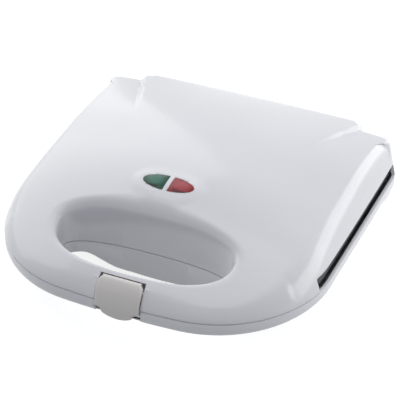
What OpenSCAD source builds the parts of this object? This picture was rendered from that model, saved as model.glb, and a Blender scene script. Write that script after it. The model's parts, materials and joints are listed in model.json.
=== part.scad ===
/*
Countertop sandwich toaster with a hinged lid.
Frame: X to the right, -Y to the handle, +Y to the hinge, +Z up, millimetres.
The origin lies on the table under the middle of the whole outline.
Every sub-part is drawn in a local frame whose origin is the front middle of the
rim on the parting plane, and in_frame() moves it to its place.
*/

/* [Outline] */
// Width over the rim
body_w = 230; // [226:1:234]
// Depth of the rim, from the handle's front to the rear corners
rim_d = 223; // [221:1:225]
// Radius of the bowed front
front_r = 467; // [400:1:600]
// Radius of the two front corners
corner_r = 80; // [74:1:84]
// Radius of the two rear corners
rear_r = 14; // [12:1:16]
// Height of the parting plane over the table
part_h = 36; // [36:0.5:38]
// Wall of both shells
wall = 2.4; // [2.2:0.1:2.6]
// Gap between lid and base rims
rim_gap = 0.5; // [0.4:0.1:0.6]

/* [Lid] */
// Height of the crown over the parting plane
crown_h = 46.5; // [45:0.5:48]
// Distance of the crown behind the front rim
crown_y = 115; // [112:1:118]
// Fall of the crown toward the handle
front_fall = 31.5; // [31:0.5:32]
// Fall of the crown toward the hood
rear_fall = 18; // [17:0.5:19]
// Fall of the crown toward the sides
side_fall = 20; // [19:0.5:21]
// Inset of the top edge over the handle
front_inset = 8; // [7.5:0.5:8.5]
// Inset of the top edge over the sides
side_inset = 11.5; // [11:0.5:12]
// Inset of the top edge over the rear corners
rear_inset = 3; // [2.5:0.5:4]
// Height of the slot along each side
slot_h = 9; // [8.5:0.5:9.5]
// Start of the slot behind the front rim
slot_y = 65; // [62:1:68]
// Height of the raised pod round the lights
pod_h = 1.6; // [1.2:0.1:1.8]

/* [Hood] */
// Half width of the hinge hood
hood_hw = 85.5; // [85:0.5:87]
// Overhang of the hood behind the rear rim
hood_over = 14.2; // [14:0.1:14.6]
// Inset of the hood's top edge
hood_inset = 8; // [7.5:0.5:8.5]
// Drop of the rear corners below the hood
ear_drop = 2.5; // [2:0.1:3.5]

/* [Handle opening] */
// Middle of the opening behind the front rim
open_y = 42; // [41:0.5:43]
// Half width of the opening at the parting plane
open_hw = 60.5; // [60:0.5:62]
// Reach of the opening toward the hinge
open_rear = 17; // [16:0.5:17]
// Reach of the opening toward the handle
open_front = 27; // [26.5:0.5:27.5]
// Flare of the opening toward the top
open_flare = 1.2; // [1:0.2:2]

/* [Base] */
// Depth of the rim band under the parting plane
band_h = 9.5; // [9:0.5:10]
// Depth of the flat bottom under the parting plane
tub_h = 30; // [29:0.5:30]
// Diameter of a rubber foot
foot_d = 18; // [16:1:20]

/* [Cooking plates] */
// Height of the face on which the two plates meet, over the parting plane
face_z = 4.2; // [4.2:0.1:4.4]
// Gap between the two closed plates
plate_gap = 0.3; // [0.2:0.1:0.4]
// Thickness of a plate's flange
flange_t = 4; // [3.8:0.1:4]
// Depth of a pocket under the face
pocket_depth = 14; // [12:0.5:14]
// Casting wall of a pocket
cast_t = 2.5; // [2.2:0.1:2.8]
// Inset of a plate from the rim
plate_inset = 4.5; // [4:0.5:5]
// Front edge of the plates behind the front rim
plate_y0 = 65.2; // [65:0.1:65.6]

/* [Hinge] */
// Diameter of the two hinge pins
pin_d = 4; // [3.8:0.1:4.2]
// Radius of the knuckles
knuckle_r = 4.6; // [4.4:0.1:4.7]
// Height of the hinge axis over the parting plane
axis_z = 3; // [2.5:0.5:3.5]
// Distance of the hinge axis behind the rear rim
axis_back = 6.4; // [6.2:0.1:6.6]
// Running clearance of a pin in the lid knuckles
pin_clear = 0.05; // [0.04:0.01:0.08]

/* [Latch] */
// Width of the latch
latch_w = 31; // [30:0.5:32]
// Gap beside the latch
latch_gap = 0.6; // [0.5:0.1:0.8]
// How far the latch stands proud of the rim
latch_proud = 2.2; // [2:0.1:2.4]

/* [Hidden] */
$fn = 48;
hw = body_w / 2;
low = rim_gap / 2;
hood_y = rim_d + hood_over;
axis_y = rim_d + axis_back;
y_mid = (latch_proud - hood_y) / 2;
band_lip = 5;
tub_bow = 17;
tub_bow_hw = 75;
tub_slope = 30;
flank_in = 26;
rear_in = 9;
edge_turn = 5;
lip_turn = 8.5;
lip_sink = 0.3;
plate_h = 2 * face_z + plate_gap;
back_z = face_z - pocket_depth - cast_t;
rod_r = 3.25;
rod_z = back_z - rod_r - 0.1;
shield_t = 0.6;
shield_lip = 1.8;
shield_z = rod_z - rod_r - 1.6 - shield_t;
stud_xy = [52, 112];
white = [0.90, 0.90, 0.92];
coating = [0.13, 0.13, 0.14];
steel = [0.72, 0.73, 0.75];

module in_frame() translate([0, y_mid, part_h]) children();
// The lid's plate set is the base's plate set mirrored in the face between them
module over_lid() translate([0, 0, plate_h]) mirror([0, 0, 1]) children();
module both_sides() for (s = [-1, 1]) scale_x(s) children();
module scale_x(s) {
    if (s < 0) mirror([1, 0, 0]) children();
    else children();
}
// Turns a profile drawn in y and z into a bar of the given width along x
module across(x0, x1) translate([x0, 0, 0]) rotate([90, 0, 90]) linear_extrude(x1 - x0) children();

// ---- outline of the rim -----------------------------------------------------
corner_x = hw - corner_r;
corner_y = front_r - sqrt(pow(front_r - corner_r, 2) - corner_x * corner_x);
bow_a = atan2(corner_x, front_r - corner_y);
ear_x = hood_hw + 2;
function smooth(t) = let (u = max(0, min(1, t))) u * u * (3 - 2 * u);
function mix(a, b, t) = a + (b - a) * t;

// Each rim point is [x, y, outward normal x, outward normal y]
front_arc = [for (i = [0:3]) let (a = bow_a * i / 4)
    [front_r * sin(a), front_r - front_r * cos(a), sin(a), -cos(a)]];
corner_arc = [for (i = [0:13]) let (a = bow_a + (90 - bow_a) * i / 13)
    [corner_x + corner_r * sin(a), corner_y - corner_r * cos(a), sin(a), -cos(a)]];
side_line = [for (i = [1:6])
    [hw, mix(corner_y, rim_d - rear_r, i / 7), 1, 0]];
rear_arc = [for (i = [0:5]) let (a = 90 * i / 5)
    [hw - rear_r + rear_r * cos(a), rim_d - rear_r + rear_r * sin(a), cos(a), sin(a)]];
plain_half = concat(front_arc, corner_arc, side_line, rear_arc);
ear_line = [for (x = [mix(hw - rear_r, ear_x, 0.5), ear_x]) [x, rim_d, 0, 1]];
hood_line = [for (i = [0:6]) [hood_hw * (1 - i / 6), hood_y, 0, 1]];
base_line = [for (i = [1:7]) [(hw - rear_r) * (1 - i / 7), rim_d, 0, 1]];
function whole(half) = concat(half, [for (i = [len(half) - 2:-1:1])
    [-half[i][0], half[i][1], -half[i][2], half[i][3]]]);
lid_rim = whole(concat(plain_half, ear_line, hood_line));
base_rim = whole(concat(plain_half, base_line));

// ---- handle opening -----------------------------------------------------------
function open_r(c, s, grow) =
    let (n = s > 0 ? 2.6 : 2.2,
         a = open_hw + grow,
         b = s > 0 ? open_rear : open_front + grow / 2)
    pow(pow(abs(c) / a, n) + pow(abs(s) / b, n), -1 / n);
// Edge of the opening in the direction of a rim point, moved outward by off
function open_pt(p, grow, off) =
    let (dx = p[0], dy = p[1] - open_y, l = norm([dx, dy]),
         r = open_r(dx / l, dy / l, grow) + off)
    [dx / l * r, open_y + dy / l * r];

// ---- top surface of the lid -----------------------------------------------------
function ridge(y) = y < crown_y
    ? crown_h - front_fall * pow((crown_y - y) / (crown_y - 10), 2.1)
    : crown_h - rear_fall * pow((y - crown_y) / (rim_d + 6 - crown_y), 2.2);
function side_drop(y) = side_fall * (1 - pow(max(y - 85, 0) / 150, 1.7));
function hood_w(y) = hood_hw - 0.36 * (rim_d + 6 - y);
function ears(x, y) = ear_drop * smooth((y - 150) / 72) * (1 - smooth((hood_w(y) + 2.5 - abs(x)) / 2.5));
function pod(x, y) = let (r = norm([x / 27, (y - 80) / 17]))
    pod_h * smooth((1.05 - r) / 0.3) * smooth((98 - y) / 22);
function lid_z(x, y) = ridge(y) - side_drop(y) * pow(abs(x) / (hw - side_inset), 2.2)
    - ears(x, y) + pod(x, y);

// ---- ring sections of the two skins ------------------------------------------------
function bezier(a, b, c, t) = mix(mix(a, b, t), mix(b, c, t), t);
function curve(a, b, c, n) = [for (i = [0:n]) bezier(a, b, c, i / n)];
function on_top(q, drop) = [q[0], q[1], lid_z(q[0], q[1]) - drop];
function rim_pt(p, inset, z) = [p[0] - p[2] * inset, p[1] - p[3] * inset, z];
function edge_inset(p) = p[1] > rim_d + 1 ? hood_inset
    : p[1] > open_y ? mix(side_inset, rear_inset, smooth(p[3]))
    : mix(front_inset, side_inset, smooth((p[1] - 20) / 60));
function reversed(v) = [for (i = [len(v) - 1:-1:0]) v[i]];

// From the opening's lower edge over the top to the rim; skin = 0 is the outside
function lid_section(p, skin) =
    let (edge = on_top(rim_pt(p, edge_inset(p) + skin * 0.6, 0), skin),
         foot = rim_pt(p, 0.3 + skin, low + 2),
         bulge = rim_pt(p, 0.3 + skin + edge_inset(p) * 0.3, edge[2] * 0.62),
         lip = open_pt(p, open_flare, skin),
         run = [edge[0] - lip[0], edge[1] - lip[1]],
         gap = norm(run),
         turn = min(edge_turn, gap * 0.42) / gap,
         turn_in = min(lip_turn, gap * 0.42) / gap,
         a_in = on_top([lip[0] + run[0] * turn_in, lip[1] + run[1] * turn_in], skin),
         a_out = on_top([edge[0] - run[0] * turn, edge[1] - run[1] * turn], skin),
         mouth = on_top(lip, skin),
         throat = open_pt(p, 0, skin),
         sink = mix(mouth, [throat[0], throat[1], low], lip_sink),
         wall_top = mix(edge, bulge, 0.35),
         fine = skin == 0)
    concat(
        [[throat[0], throat[1], low]],
        curve(sink, mouth, a_in, fine ? 3 : 1),
        [for (f = fine ? [0.11, 0.24, 0.39, 0.55, 0.7, 0.86] : [0.33, 0.67])
            on_top(mix([a_in[0], a_in[1]], [a_out[0], a_out[1]], f), skin)],
        curve(a_out, edge, wall_top, fine ? 3 : 1),
        [bezier(wall_top, bulge, foot, 0.5), foot, rim_pt(p, skin, low)]);

function arch(u) = let (v = max(0, min(1, u))) sqrt(1 - (1 - v) * (1 - v));
// The tub's front curves back toward the sides
function tub_front(x) = open_y + 3 + tub_bow * smooth(abs(x) / tub_bow_hw);
function deepen(q) = (tub_h - band_h) * smooth((q[1] - tub_front(q[0])) / tub_slope);
function flank(d, rear) = mix(smooth(d / flank_in), arch(d / rear_in), rear);
function under_z(p, q, d, s) = -(band_lip + (band_h - band_lip) * arch(d / (band_lip * max(s, 0.5)))
    + deepen(q) * flank(d / s, smooth(p[3])));

// From the opening's upper edge under the base to the rim; skin = 0 is the outside
function base_section(p, skin) =
    let (edge = [p[0] - p[2] * skin, p[1] - p[3] * skin],
         throat = open_pt(p, 0, skin),
         run = edge - throat,
         gap = norm(run),
         s = min(1, gap / 56),
         dir = run / gap,
         fine = skin == 0,
         turned = throat + dir * 2.5 * s,
         turn_z = under_z(p, turned, gap - 2.5 * s, s) + skin)
    concat(
        [[throat[0], throat[1], -low]],
        curve([throat[0], throat[1], turn_z + 2.5], [throat[0], throat[1], turn_z],
            [turned[0], turned[1], turn_z], fine ? 2 : 1),
        [for (d = concat([for (m = [9, 18, 29]) gap - m * s],
                [for (f = [0.33, 0.67]) mix(gap - 29 * s, flank_in * s, f)],
                fine ? [flank_in * s, 20 * s, 13 * s, 8 * s, 4.5 * s, 2 * s, 0.6 * s, 0]
                    : [flank_in * s, 18 * s, 9 * s, 3 * s, 0]))
            let (q = edge - dir * d) [q[0], q[1], under_z(p, q, d, s) + skin]],
        [[edge[0], edge[1], -low]]);

module loop_solid(rings, flip) {
    n = len(rings);
    m = len(rings[0]);
    polyhedron(
        points = [for (r = rings) for (q = r) q],
        faces = [for (i = [0:n - 1]) for (j = [0:m - 1])
            let (i2 = (i + 1) % n, j2 = (j + 1) % m,
                 a = i * m + j, b = i2 * m + j, c = i2 * m + j2, d = i * m + j2)
            for (f = flip ? [[c, b, a], [d, c, a]] : [[a, b, c], [a, c, d]]) f]);
}

module lid_skin() loop_solid([for (p = lid_rim)
    concat(lid_section(p, 0), reversed(lid_section(p, wall)))], false);
module base_skin() loop_solid([for (p = base_rim)
    concat(base_section(p, 0), reversed(base_section(p, wall)))], true);

// ---- shared shapes -------------------------------------------------------------------
plate_screw_xy = [[79, 70], [94, 212]];
foot_xy = [[84, 110], [84, 190]];
thermostat_xy = [-46, 140];
boss_d = 8;
floor_mid = tub_h - wall / 2;
boss_foot = [band_h + 0.4, floor_mid];
slot_in = 10;
slot_end = rim_d - 10;
plate_screw_l = 10;
plate_bore_z = face_z - plate_screw_l - 1.5;
screw_hole_d = 3.4;
head_recess_d = 7;
head_recess = 0.9;
gland_x = 45;
gland_z = -14;
knuckle_x = [56, 64.4, 74, 82.2];
knuckle_gap = 0.4;
sleeve_r = 1.6;
latch_axis = [6.9, 9.6];
latch_pin_r = 1.25;
recess_hw = latch_w / 2 + latch_gap;
recess_r = 6.55;
lamp_x = 10;
lamp_y = 80;
lens_a = 18;
lens_b = 7;
divider_w = 3.4;

module rod(a, b, r) {
    d = b - a;
    translate(a) rotate([0, acos(d[2] / norm(d)), atan2(d[1], d[0])]) cylinder(h = norm(d), r = r);
}
// A bent lead: straight eight-sided lengths that run a little into each other
module wire(points, r) for (i = [0:len(points) - 2]) {
    step = (points[i + 1] - points[i]) / norm(points[i + 1] - points[i]) * r * 0.45;
    first = i > 0 ? points[i] - step : points[i];
    last = i < len(points) - 2 ? points[i + 1] + step : points[i + 1];
    rod(first, last, r, $fn = 8);
}
module screw(len, d, head_d, head_h) {
    cylinder(h = len, d = d);
    translate([0, 0, len]) difference() {
        cylinder(h = head_h, d1 = head_d, d2 = head_d * 0.8);
        for (a = [0, 90]) rotate(a) translate([0, 0, head_h])
            cube([head_d * 0.55, 0.7, head_h], center = true);
    }
}

// ---- base -------------------------------------------------------------------------------
module hinge_arm(x0, x1) across(x0, x1) difference() {
    union() {
        translate([axis_y, axis_z]) circle(knuckle_r);
        polygon([[rim_d - 2, -6], [rim_d - 0.2, -6], [rim_d, -2.6],
            [axis_y - knuckle_r * 0.7, axis_z - knuckle_r * 0.72], [axis_y, axis_z],
            [axis_y - knuckle_r * 0.6, axis_z + knuckle_r * 0.8], [rim_d - 0.6, axis_z + 2],
            [rim_d - 2.2, 0.6]]);
    }
    translate([axis_y, axis_z]) circle(pin_d / 2);
}
module base_boss(x, y, d, top, foot) translate([x, y, -foot]) cylinder(h = top + foot, d = d);
module catch_bar() across(-recess_hw - 3, recess_hw + 3)
    polygon([[2.9, -low], [2.9, -3.2], [1.2, -3.4], [1.2, -5.6],
        [2.9, -5.6], [2.9, -8.4], [6, -8.6], [6, -low]]);

module base_shell() color(white) in_frame() difference() {
    union() {
        difference() {
            base_skin();
            translate([-recess_hw, -5, -20]) cube([2 * recess_hw, 7.9, 30]);
        }
        catch_bar();
        both_sides() {
            for (i = [0, 1]) base_boss(plate_screw_xy[i][0], plate_screw_xy[i][1], boss_d,
                face_z - flange_t - 0.05, boss_foot[i]);
            hinge_arm(knuckle_x[0], knuckle_x[1] - knuckle_gap);
            hinge_arm(knuckle_x[2], knuckle_x[3]);
            for (x = rib_x) base_rib(x);
        }
        for (x = [gland_x - 9, gland_x + 9]) base_boss(x, 211, 6, gland_z - 3.6, floor_mid);
        for (x = [-12, 12]) base_boss(x, 211.5, 6, -22, floor_mid);
    }
    both_sides() {
        for (p = plate_screw_xy) translate([p[0], p[1], plate_bore_z]) cylinder(h = 20, d = 3);
        for (p = foot_xy) translate([p[0], p[1], -40]) cylinder(h = 20, d = 8);
    }
    for (x = [gland_x - 9, gland_x + 9]) translate([x, 211, gland_z - 12]) cylinder(h = 10, d = 2.4);
    for (x = [-12, 12]) translate([x, 211.5, -27]) cylinder(h = 10, d = 2.4);
    translate([gland_x, 200, gland_z]) rotate([-90, 0, 0]) cylinder(h = 40, d = 10.4);
    translate([-24 - sleeve_r - 0.6, rim_d - 5, -4]) cube([2 * sleeve_r + 1.2, 10, 20]);
}

// A pocket is a three-cornered frustum that narrows away from the face
function inset_tri(t, d) =
    let (c = [for (i = [0:2]) let (a = t[i], b = t[(i + 1) % 3], e = t[(i + 2) % 3],
             u = (b - a) / norm(b - a), v = (e - a) / norm(e - a), w = (u + v) / norm(u + v),
             s = sqrt((1 - u * v) / 2)) a + w * d / s]) c;
module frustum(top, low_z, high_z, draft) {
    foot = inset_tri(top, draft);
    polyhedron(
        points = concat([for (q = top) [q[0], q[1], high_z]], [for (q = foot) [q[0], q[1], low_z]]),
        faces = [[2, 1, 0], [3, 4, 5], [0, 1, 4, 3], [1, 2, 5, 4], [2, 0, 3, 5]]);
}
slice_x = [3.5, 103];
slice_y = [77, 203];
ridge_w = 4;
// The two triangles of one slice, on the right-hand side, counterclockwise
function slices() = let (x0 = slice_x[0], x1 = slice_x[1], y0 = slice_y[0], y1 = slice_y[1], r = ridge_w)
    [[[x0, y0 + r], [x1 - r, y1], [x0, y1]], [[x0 + r, y0], [x1, y0], [x1, y1 - r]]];

module plate_outline() {
    r = rear_r - plate_inset;
    x = hw - plate_inset;
    y = rim_d - plate_inset;
    intersection() {
        translate([-x, plate_y0]) square([2 * x, y - plate_y0]);
        union() {
            for (s = [-1, 1]) {
                translate([s * corner_x, corner_y]) circle(corner_r - plate_inset, $fn = 120);
                translate([s * (x - r), y - r]) circle(r);
            }
            translate([-x, corner_y]) square([2 * x, y - r - corner_y]);
            translate([-x + r, plate_y0]) square([2 * (x - r), y - plate_y0]);
            translate([-corner_x, plate_y0]) square([2 * corner_x, 60]);
        }
    }
}
module cooking_plate() {
    difference() {
        union() {
            translate([0, 0, face_z - flange_t]) linear_extrude(flange_t) plate_outline();
            both_sides() for (t = slices()) frustum(inset_tri(t, -cast_t), back_z, face_z - 0.5, 6);
            both_sides() translate([stud_xy[0], stud_xy[1], shield_z + shield_t]) cylinder(h = 14, d = 7);
        }
        both_sides() {
            for (t = slices()) {
                frustum(t, face_z - pocket_depth, face_z + 0.5, 6);
            }
            for (p = plate_screw_xy) {
                translate([p[0], p[1], face_z - flange_t - 1]) cylinder(h = flange_t + 2, d = screw_hole_d);
                translate([p[0], p[1], face_z - head_recess])
                    cylinder(h = 2 * head_recess, d = head_recess_d);
            }
            translate([stud_xy[0], stud_xy[1], shield_z - 1]) cylinder(h = 8, d = 2.6);
        }
    }
}
module plate_screws() both_sides() for (p = plate_screw_xy)
    translate([p[0], p[1], face_z - head_recess - plate_screw_l]) screw(plate_screw_l, 2.9, 6.4, 0.7);

loop_x = 72;
loop_y = [92, 182];
loop_r = 18;
module element() {
    both_sides() {
        for (c = [[loop_x - loop_r, loop_y[0] + loop_r, -90], [loop_x - loop_r, loop_y[1] - loop_r, 0]])
            translate([c[0], c[1], rod_z]) rotate(c[2]) rotate_extrude(angle = 90)
                translate([loop_r, 0]) circle(rod_r);
        rod([loop_x, loop_y[0] + loop_r, rod_z], [loop_x, loop_y[1] - loop_r, rod_z], rod_r);
        rod([loop_x - loop_r, loop_y[1], rod_z], [22, loop_y[1], rod_z], rod_r);
        translate([22, loop_y[1] + 10, rod_z]) rotate(180) rotate_extrude(angle = 90)
            translate([10, 0]) circle(rod_r);
        rod([12, loop_y[1] + 10, rod_z], [12, 200, rod_z], rod_r);
        rod([12, 199, rod_z], [12, 203, rod_z], 1.2);
    }
    rod([-loop_x + loop_r, loop_y[0], rod_z], [loop_x - loop_r, loop_y[0], rod_z], rod_r);
}
module element_clamps() both_sides() for (c = [[loop_x, 137, 0], [32, loop_y[0], 90]])
    translate([c[0], c[1], rod_z]) rotate(c[2]) rotate([90, 0, 0]) linear_extrude(8, center = true)
    difference() {
        union() {
            circle(rod_r + 1.2);
            translate([-7.5, rod_r - 1.2]) square([15, 1.2]);
            translate([-rod_r - 1.2, 0]) square([2 * rod_r + 2.4, rod_r]);
        }
        circle(rod_r + 0.05);
        translate([-rod_r - 0.05, 0]) square([2 * rod_r + 0.1, rod_r + 1]);
        translate([-20, rod_r]) square([40, 10]);
    }
shield_x = 73;
shield_y = [88.5, 188];
module heat_shield() {
    translate([0, 0, shield_z]) linear_extrude(shield_t) difference() {
        translate([-shield_x, shield_y[0]]) square([2 * shield_x, shield_y[1] - shield_y[0]]);
        for (s = [-1, 1]) translate([s * stud_xy[0], stud_xy[1]]) circle(d = 3.2);
        translate(thermostat_xy) circle(d = 22);
    }
    for (y = [shield_y[0] - shield_t, shield_y[1]]) translate([-shield_x, y, shield_z])
        cube([2 * shield_x, shield_t, shield_lip]);
}
module shield_screws() both_sides() translate([stud_xy[0], stud_xy[1], shield_z + 6.4])
    rotate([180, 0, 0]) screw(6.5, 2.5, 6, 1.4);

module base_cooking_plate() color(coating) in_frame() cooking_plate();
module base_plate_screws() color(steel) in_frame() plate_screws();
module base_heating_element() color([0.45, 0.44, 0.43]) in_frame() element();
module base_element_clamps() color(steel) in_frame() element_clamps();
module base_heat_shield() color(steel) in_frame() heat_shield();
module base_shield_screws() color(steel) in_frame() shield_screws();

block_z = -22;
fuse_z = back_z - 2.1;
module terminal_block() color([0.85, 0.85, 0.82]) in_frame() difference() {
    translate([-16, 206, block_z + 0.05]) cube([32, 9.4, 8]);
    for (x = [-12, 12]) translate([x, 211.5, block_z - 1]) cylinder(h = 12, d = 3);
    for (x = [-6, 0, 6]) translate([x, 205, block_z + 4]) rotate([-90, 0, 0]) cylinder(h = 13, d = 3);
}
module terminal_block_screws() color(steel) in_frame() for (x = [-12, 12])
    translate([x, 211.5, block_z - 4]) screw(12.1, 2.3, 4.6, 1.4);
module thermal_fuse() color([0.8, 0.75, 0.6]) in_frame() {
    rod([-46, 196.5, fuse_z], [-34, 196.5, fuse_z], 2);
    rod([-50, 196.5, fuse_z], [-30, 196.5, fuse_z], 0.6);
}
module cord_gland() color(white) in_frame() translate([gland_x, rim_d, gland_z]) rotate([-90, 0, 0])
    difference() {
        union() {
            translate([0, 0, -3.4]) cylinder(h = 4, r = 5.1);
            translate([0, 0, 0.3]) cylinder(h = 2, r = 7.5);
            translate([0, 0, 2.2]) cylinder(h = 7, r1 = 6, r2 = 4.6);
        }
        translate([0, 0, -5]) cylinder(h = 20, r = 3.3);
    }
module cord_clamp() color([0.8, 0.8, 0.8]) in_frame() difference() {
    translate([gland_x - 12.5, 208, gland_z - 3.5]) cube([25, 6, 9]);
    translate([gland_x, 205, gland_z]) rotate([-90, 0, 0]) cylinder(h = 12, r = 3.3);
    for (s = [-9, 9]) translate([gland_x + s, 211, gland_z - 5]) cylinder(h = 20, d = 3);
}
module cord_clamp_screws() color(steel) in_frame() for (s = [-9, 9])
    translate([gland_x + s, 211, gland_z - 9]) screw(14.6, 2.3, 4.8, 1.6);
module base_leads() color([0.75, 0.72, 0.65]) in_frame() {
    z = block_z + 4;
    wire([[-29.5, 196.5, fuse_z], [-22, 200, fuse_z - 0.4], [-17, 204.2, rod_z], [-12, 204.2, rod_z]], 0.9);
    wire([[-50.6, 196.5, fuse_z], [-54, 199, fuse_z - 1], [-52, 204, z], [-20, 204.6, z - 2],
        [-7, 204.4, z - 1], [-6, 206, z], [-6, 212, z]], 0.9);
    wire([[12, 204.2, rod_z], [10, 204.8, z + 0.8], [6, 205.2, z], [6, 212, z]], 0.9);
    wire([[0, 212, z], [0, 216.2, z + 0.4], [-10, 217, z + 3], [-18, 216.7, z + 5.4],
        [-21, 214.6, z + 5.8]], 0.9);
}

module foot(x, y) color([0.2, 0.2, 0.2]) in_frame() translate([x, y, -part_h]) {
    h = part_h - tub_h;
    cylinder(h = h - 0.02, d = foot_d);
    cylinder(h = h + wall + 1, d = 7.8);
    translate([0, 0, h + wall + 0.1]) cylinder(h = 2, d1 = 10, d2 = 8.4);
}
module foot_front_left() foot(-foot_xy[0][0], foot_xy[0][1]);
module foot_front_right() foot(foot_xy[0][0], foot_xy[0][1]);
module foot_rear_left() foot(-foot_xy[1][0], foot_xy[1][1]);
module foot_rear_right() foot(foot_xy[1][0], foot_xy[1][1]);

module hinge_pin() color(steel) in_frame() rod([knuckle_x[0] + 0.2, axis_y, axis_z],
    [knuckle_x[3] - 0.2, axis_y, axis_z], pin_d / 2 - 0.005);
module hinge_pin_right() hinge_pin();
module hinge_pin_left() mirror([1, 0, 0]) hinge_pin();
module hinge_lead_sleeve() color([0.3, 0.3, 0.3]) in_frame() {
    rod([-18, axis_y, axis_z], [18, axis_y, axis_z], sleeve_r);
    wire([[-17, axis_y, axis_z], [-22.5, axis_y - 2, axis_z - 0.93], [-24, axis_y - 5.4, axis_z - 2.52],
        [-24.3, axis_y - 10.8, axis_z - 5.04], [-23.9, rim_d - 8.5, -7.5],
        [-24.4, rim_d - 9.5, -13]], sleeve_r);
}

// ---- lid ----------------------------------------------------------------------------------
module lid_arm(x0, x1) across(x0, x1) difference() {
    x = (x0 + x1) / 2;
    union() {
        translate([axis_y, axis_z]) circle(knuckle_r);
        polygon(concat([[axis_y + knuckle_r * 0.9, axis_z], [axis_y - knuckle_r, axis_z]],
            [for (y = [axis_y - 13, axis_y - 8, axis_y - 3]) [y, lid_z(x, y) - wall / 2 - 0.6]],
            [[axis_y + 1, 22]]));
    }
    translate([axis_y, axis_z]) circle(pin_d / 2 + pin_clear);
}
module lid_boss(x, y, d, z0) translate([x, y, z0]) cylinder(h = lid_z(x, y) - wall * 0.7 - z0, d = d);
// Ribs inside the hollow handle bar, from the front wall to the wall of the opening
rib_x = [27, 39, 51];
rib_t = 1.6;
function bar_front(x) = front_r - sqrt(front_r * front_r - x * x);
function bar_back(x) = open_y - open_front * pow(1 - pow(x / open_hw, 2.2), 1 / 2.2);
module lid_rib(x) across(x - rib_t / 2, x + rib_t / 2) {
    y0 = bar_front(x);
    y1 = bar_back(x);
    top = lid_z(x, y0 + 11) - wall * 1.9;
    polygon([[y0 + wall * 0.6, 3], [y0 + wall, top - 4], [y0 + 6, top],
        [y1 - wall * 0.9, top], [y1 - wall * 0.6, 3]]);
}
module base_rib(x) across(x - rib_t / 2, x + rib_t / 2)
    polygon([[bar_front(x) + wall * 0.6, -2], [bar_back(x) - wall * 0.6, -2],
        [bar_back(x) - wall * 1.2, -band_h + wall * 0.7], [bar_front(x) + wall * 1.2, -band_h + wall * 0.7]]);
module cheek(x0, x1) across(x0, x1)
    polygon([[1.2, low], [1.8, 4], [4.3, 9], [7.6, 13], [12.4, 13.4], [13.2, low]]);
module lens_plan(side, grow) {
    x0 = divider_w / 2 - grow;
    a0 = acos(x0 / (lens_a + grow));
    polygon([for (i = [0:12]) let (t = a0 * (1 - i / 6))
        [side * (lens_a + grow) * cos(t), (lens_b + grow) * sin(t)]]);
}
module lid_shell() color(white) in_frame() difference() {
    union() {
        difference() {
            lid_skin();
            both_sides() translate([hw - slot_in, slot_y, -1])
                cube([2 * slot_in, slot_end - slot_y, slot_h + 1]);
            across(-recess_hw, recess_hw) union() {
                translate([-5, -1]) square([latch_axis[0] + 5, 40]);
                translate(latch_axis) circle(recess_r, $fn = 72);
            }
        }
        both_sides() {
            cheek(recess_hw, recess_hw + 3.4);
            for (x = rib_x) lid_rib(x);
            for (p = plate_screw_xy) lid_boss(p[0], p[1], boss_d, plate_h - face_z + flange_t + 0.05);
            lid_arm(knuckle_x[1], knuckle_x[2] - knuckle_gap);
            lid_boss(27, lamp_y, 6, 36.5);
        }
    }
    both_sides() {
        for (p = plate_screw_xy) translate([p[0], p[1], 0]) cylinder(h = plate_h + 11.5, d = 3);
        translate([27, lamp_y, 30]) cylinder(h = 10.5, d = 2);
    }
    for (s = [-1, 1]) translate([0, lamp_y, 35]) linear_extrude(20) lens_plan(s, 0.15);
    rod([-30, latch_axis[0], latch_axis[1]], [30, latch_axis[0], latch_axis[1]], latch_pin_r + 0.005);
}
module lid_cooking_plate() color(coating) in_frame() over_lid() cooking_plate();
module lid_plate_screws() color(steel) in_frame() over_lid() plate_screws();
module lid_heating_element() color([0.45, 0.44, 0.43]) in_frame() over_lid() element();
module lid_element_clamps() color(steel) in_frame() over_lid() element_clamps();
module lid_heat_shield() color(steel) in_frame() over_lid() heat_shield();
module lid_shield_screws() color(steel) in_frame() over_lid() shield_screws();

lid_back = plate_h - back_z;
module thermostat() color([0.7, 0.68, 0.6]) in_frame()
    translate([thermostat_xy[0], thermostat_xy[1], lid_back + 0.05]) {
    cylinder(h = 6.5, d = 16);
    translate([0, 0, 6.4]) cylinder(h = 3, d = 11);
    for (s = [-1, 1]) translate([s * 3 - 0.4, -2, 9.3]) cube([0.8, 4, 3.6]);
}
module thermostat_bracket() color(steel) in_frame()
    translate([thermostat_xy[0], thermostat_xy[1], lid_back + 0.05]) difference() {
    union() {
        translate([-10.6, -7.5, 6.55]) cube([21.2, 15, 0.8]);
        for (s = [-1, 1]) translate([s * 9.8 - 0.8, -7.5, 0]) cube([1.6, 15, 7.3]);
        for (s = [-1, 1]) translate([s * 13 - 4, -7.5, 0]) cube([8, 15, 0.8]);
    }
    translate([0, 0, 5]) cylinder(h = 5, d = 11.6);
    for (s = [-1, 1]) translate([s * 14, 0, -1]) cylinder(h = 3, d = 2.8);
    cylinder(h = 6.52, d = 16.4);
}
module thermostat_screws() color(steel) in_frame() for (s = [-1, 1])
    translate([thermostat_xy[0] + 14 * s, thermostat_xy[1], lid_back + 0.1]) screw(0.8, 2.4, 4.4, 1.5);

lens_floor = 36.55;
lens_turn = acos(divider_w / 2 / lens_a);
lens_ring = concat(
    [for (i = [0:16]) let (t = lens_turn * (i / 8 - 1)) [lens_a * cos(t), lamp_y + lens_b * sin(t)]],
    [for (i = [1:5]) [divider_w / 2, lamp_y + lens_b * sin(lens_turn) * (1 - i / 3)]]);
lens_mid = [lens_a * 0.52, lamp_y];
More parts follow.
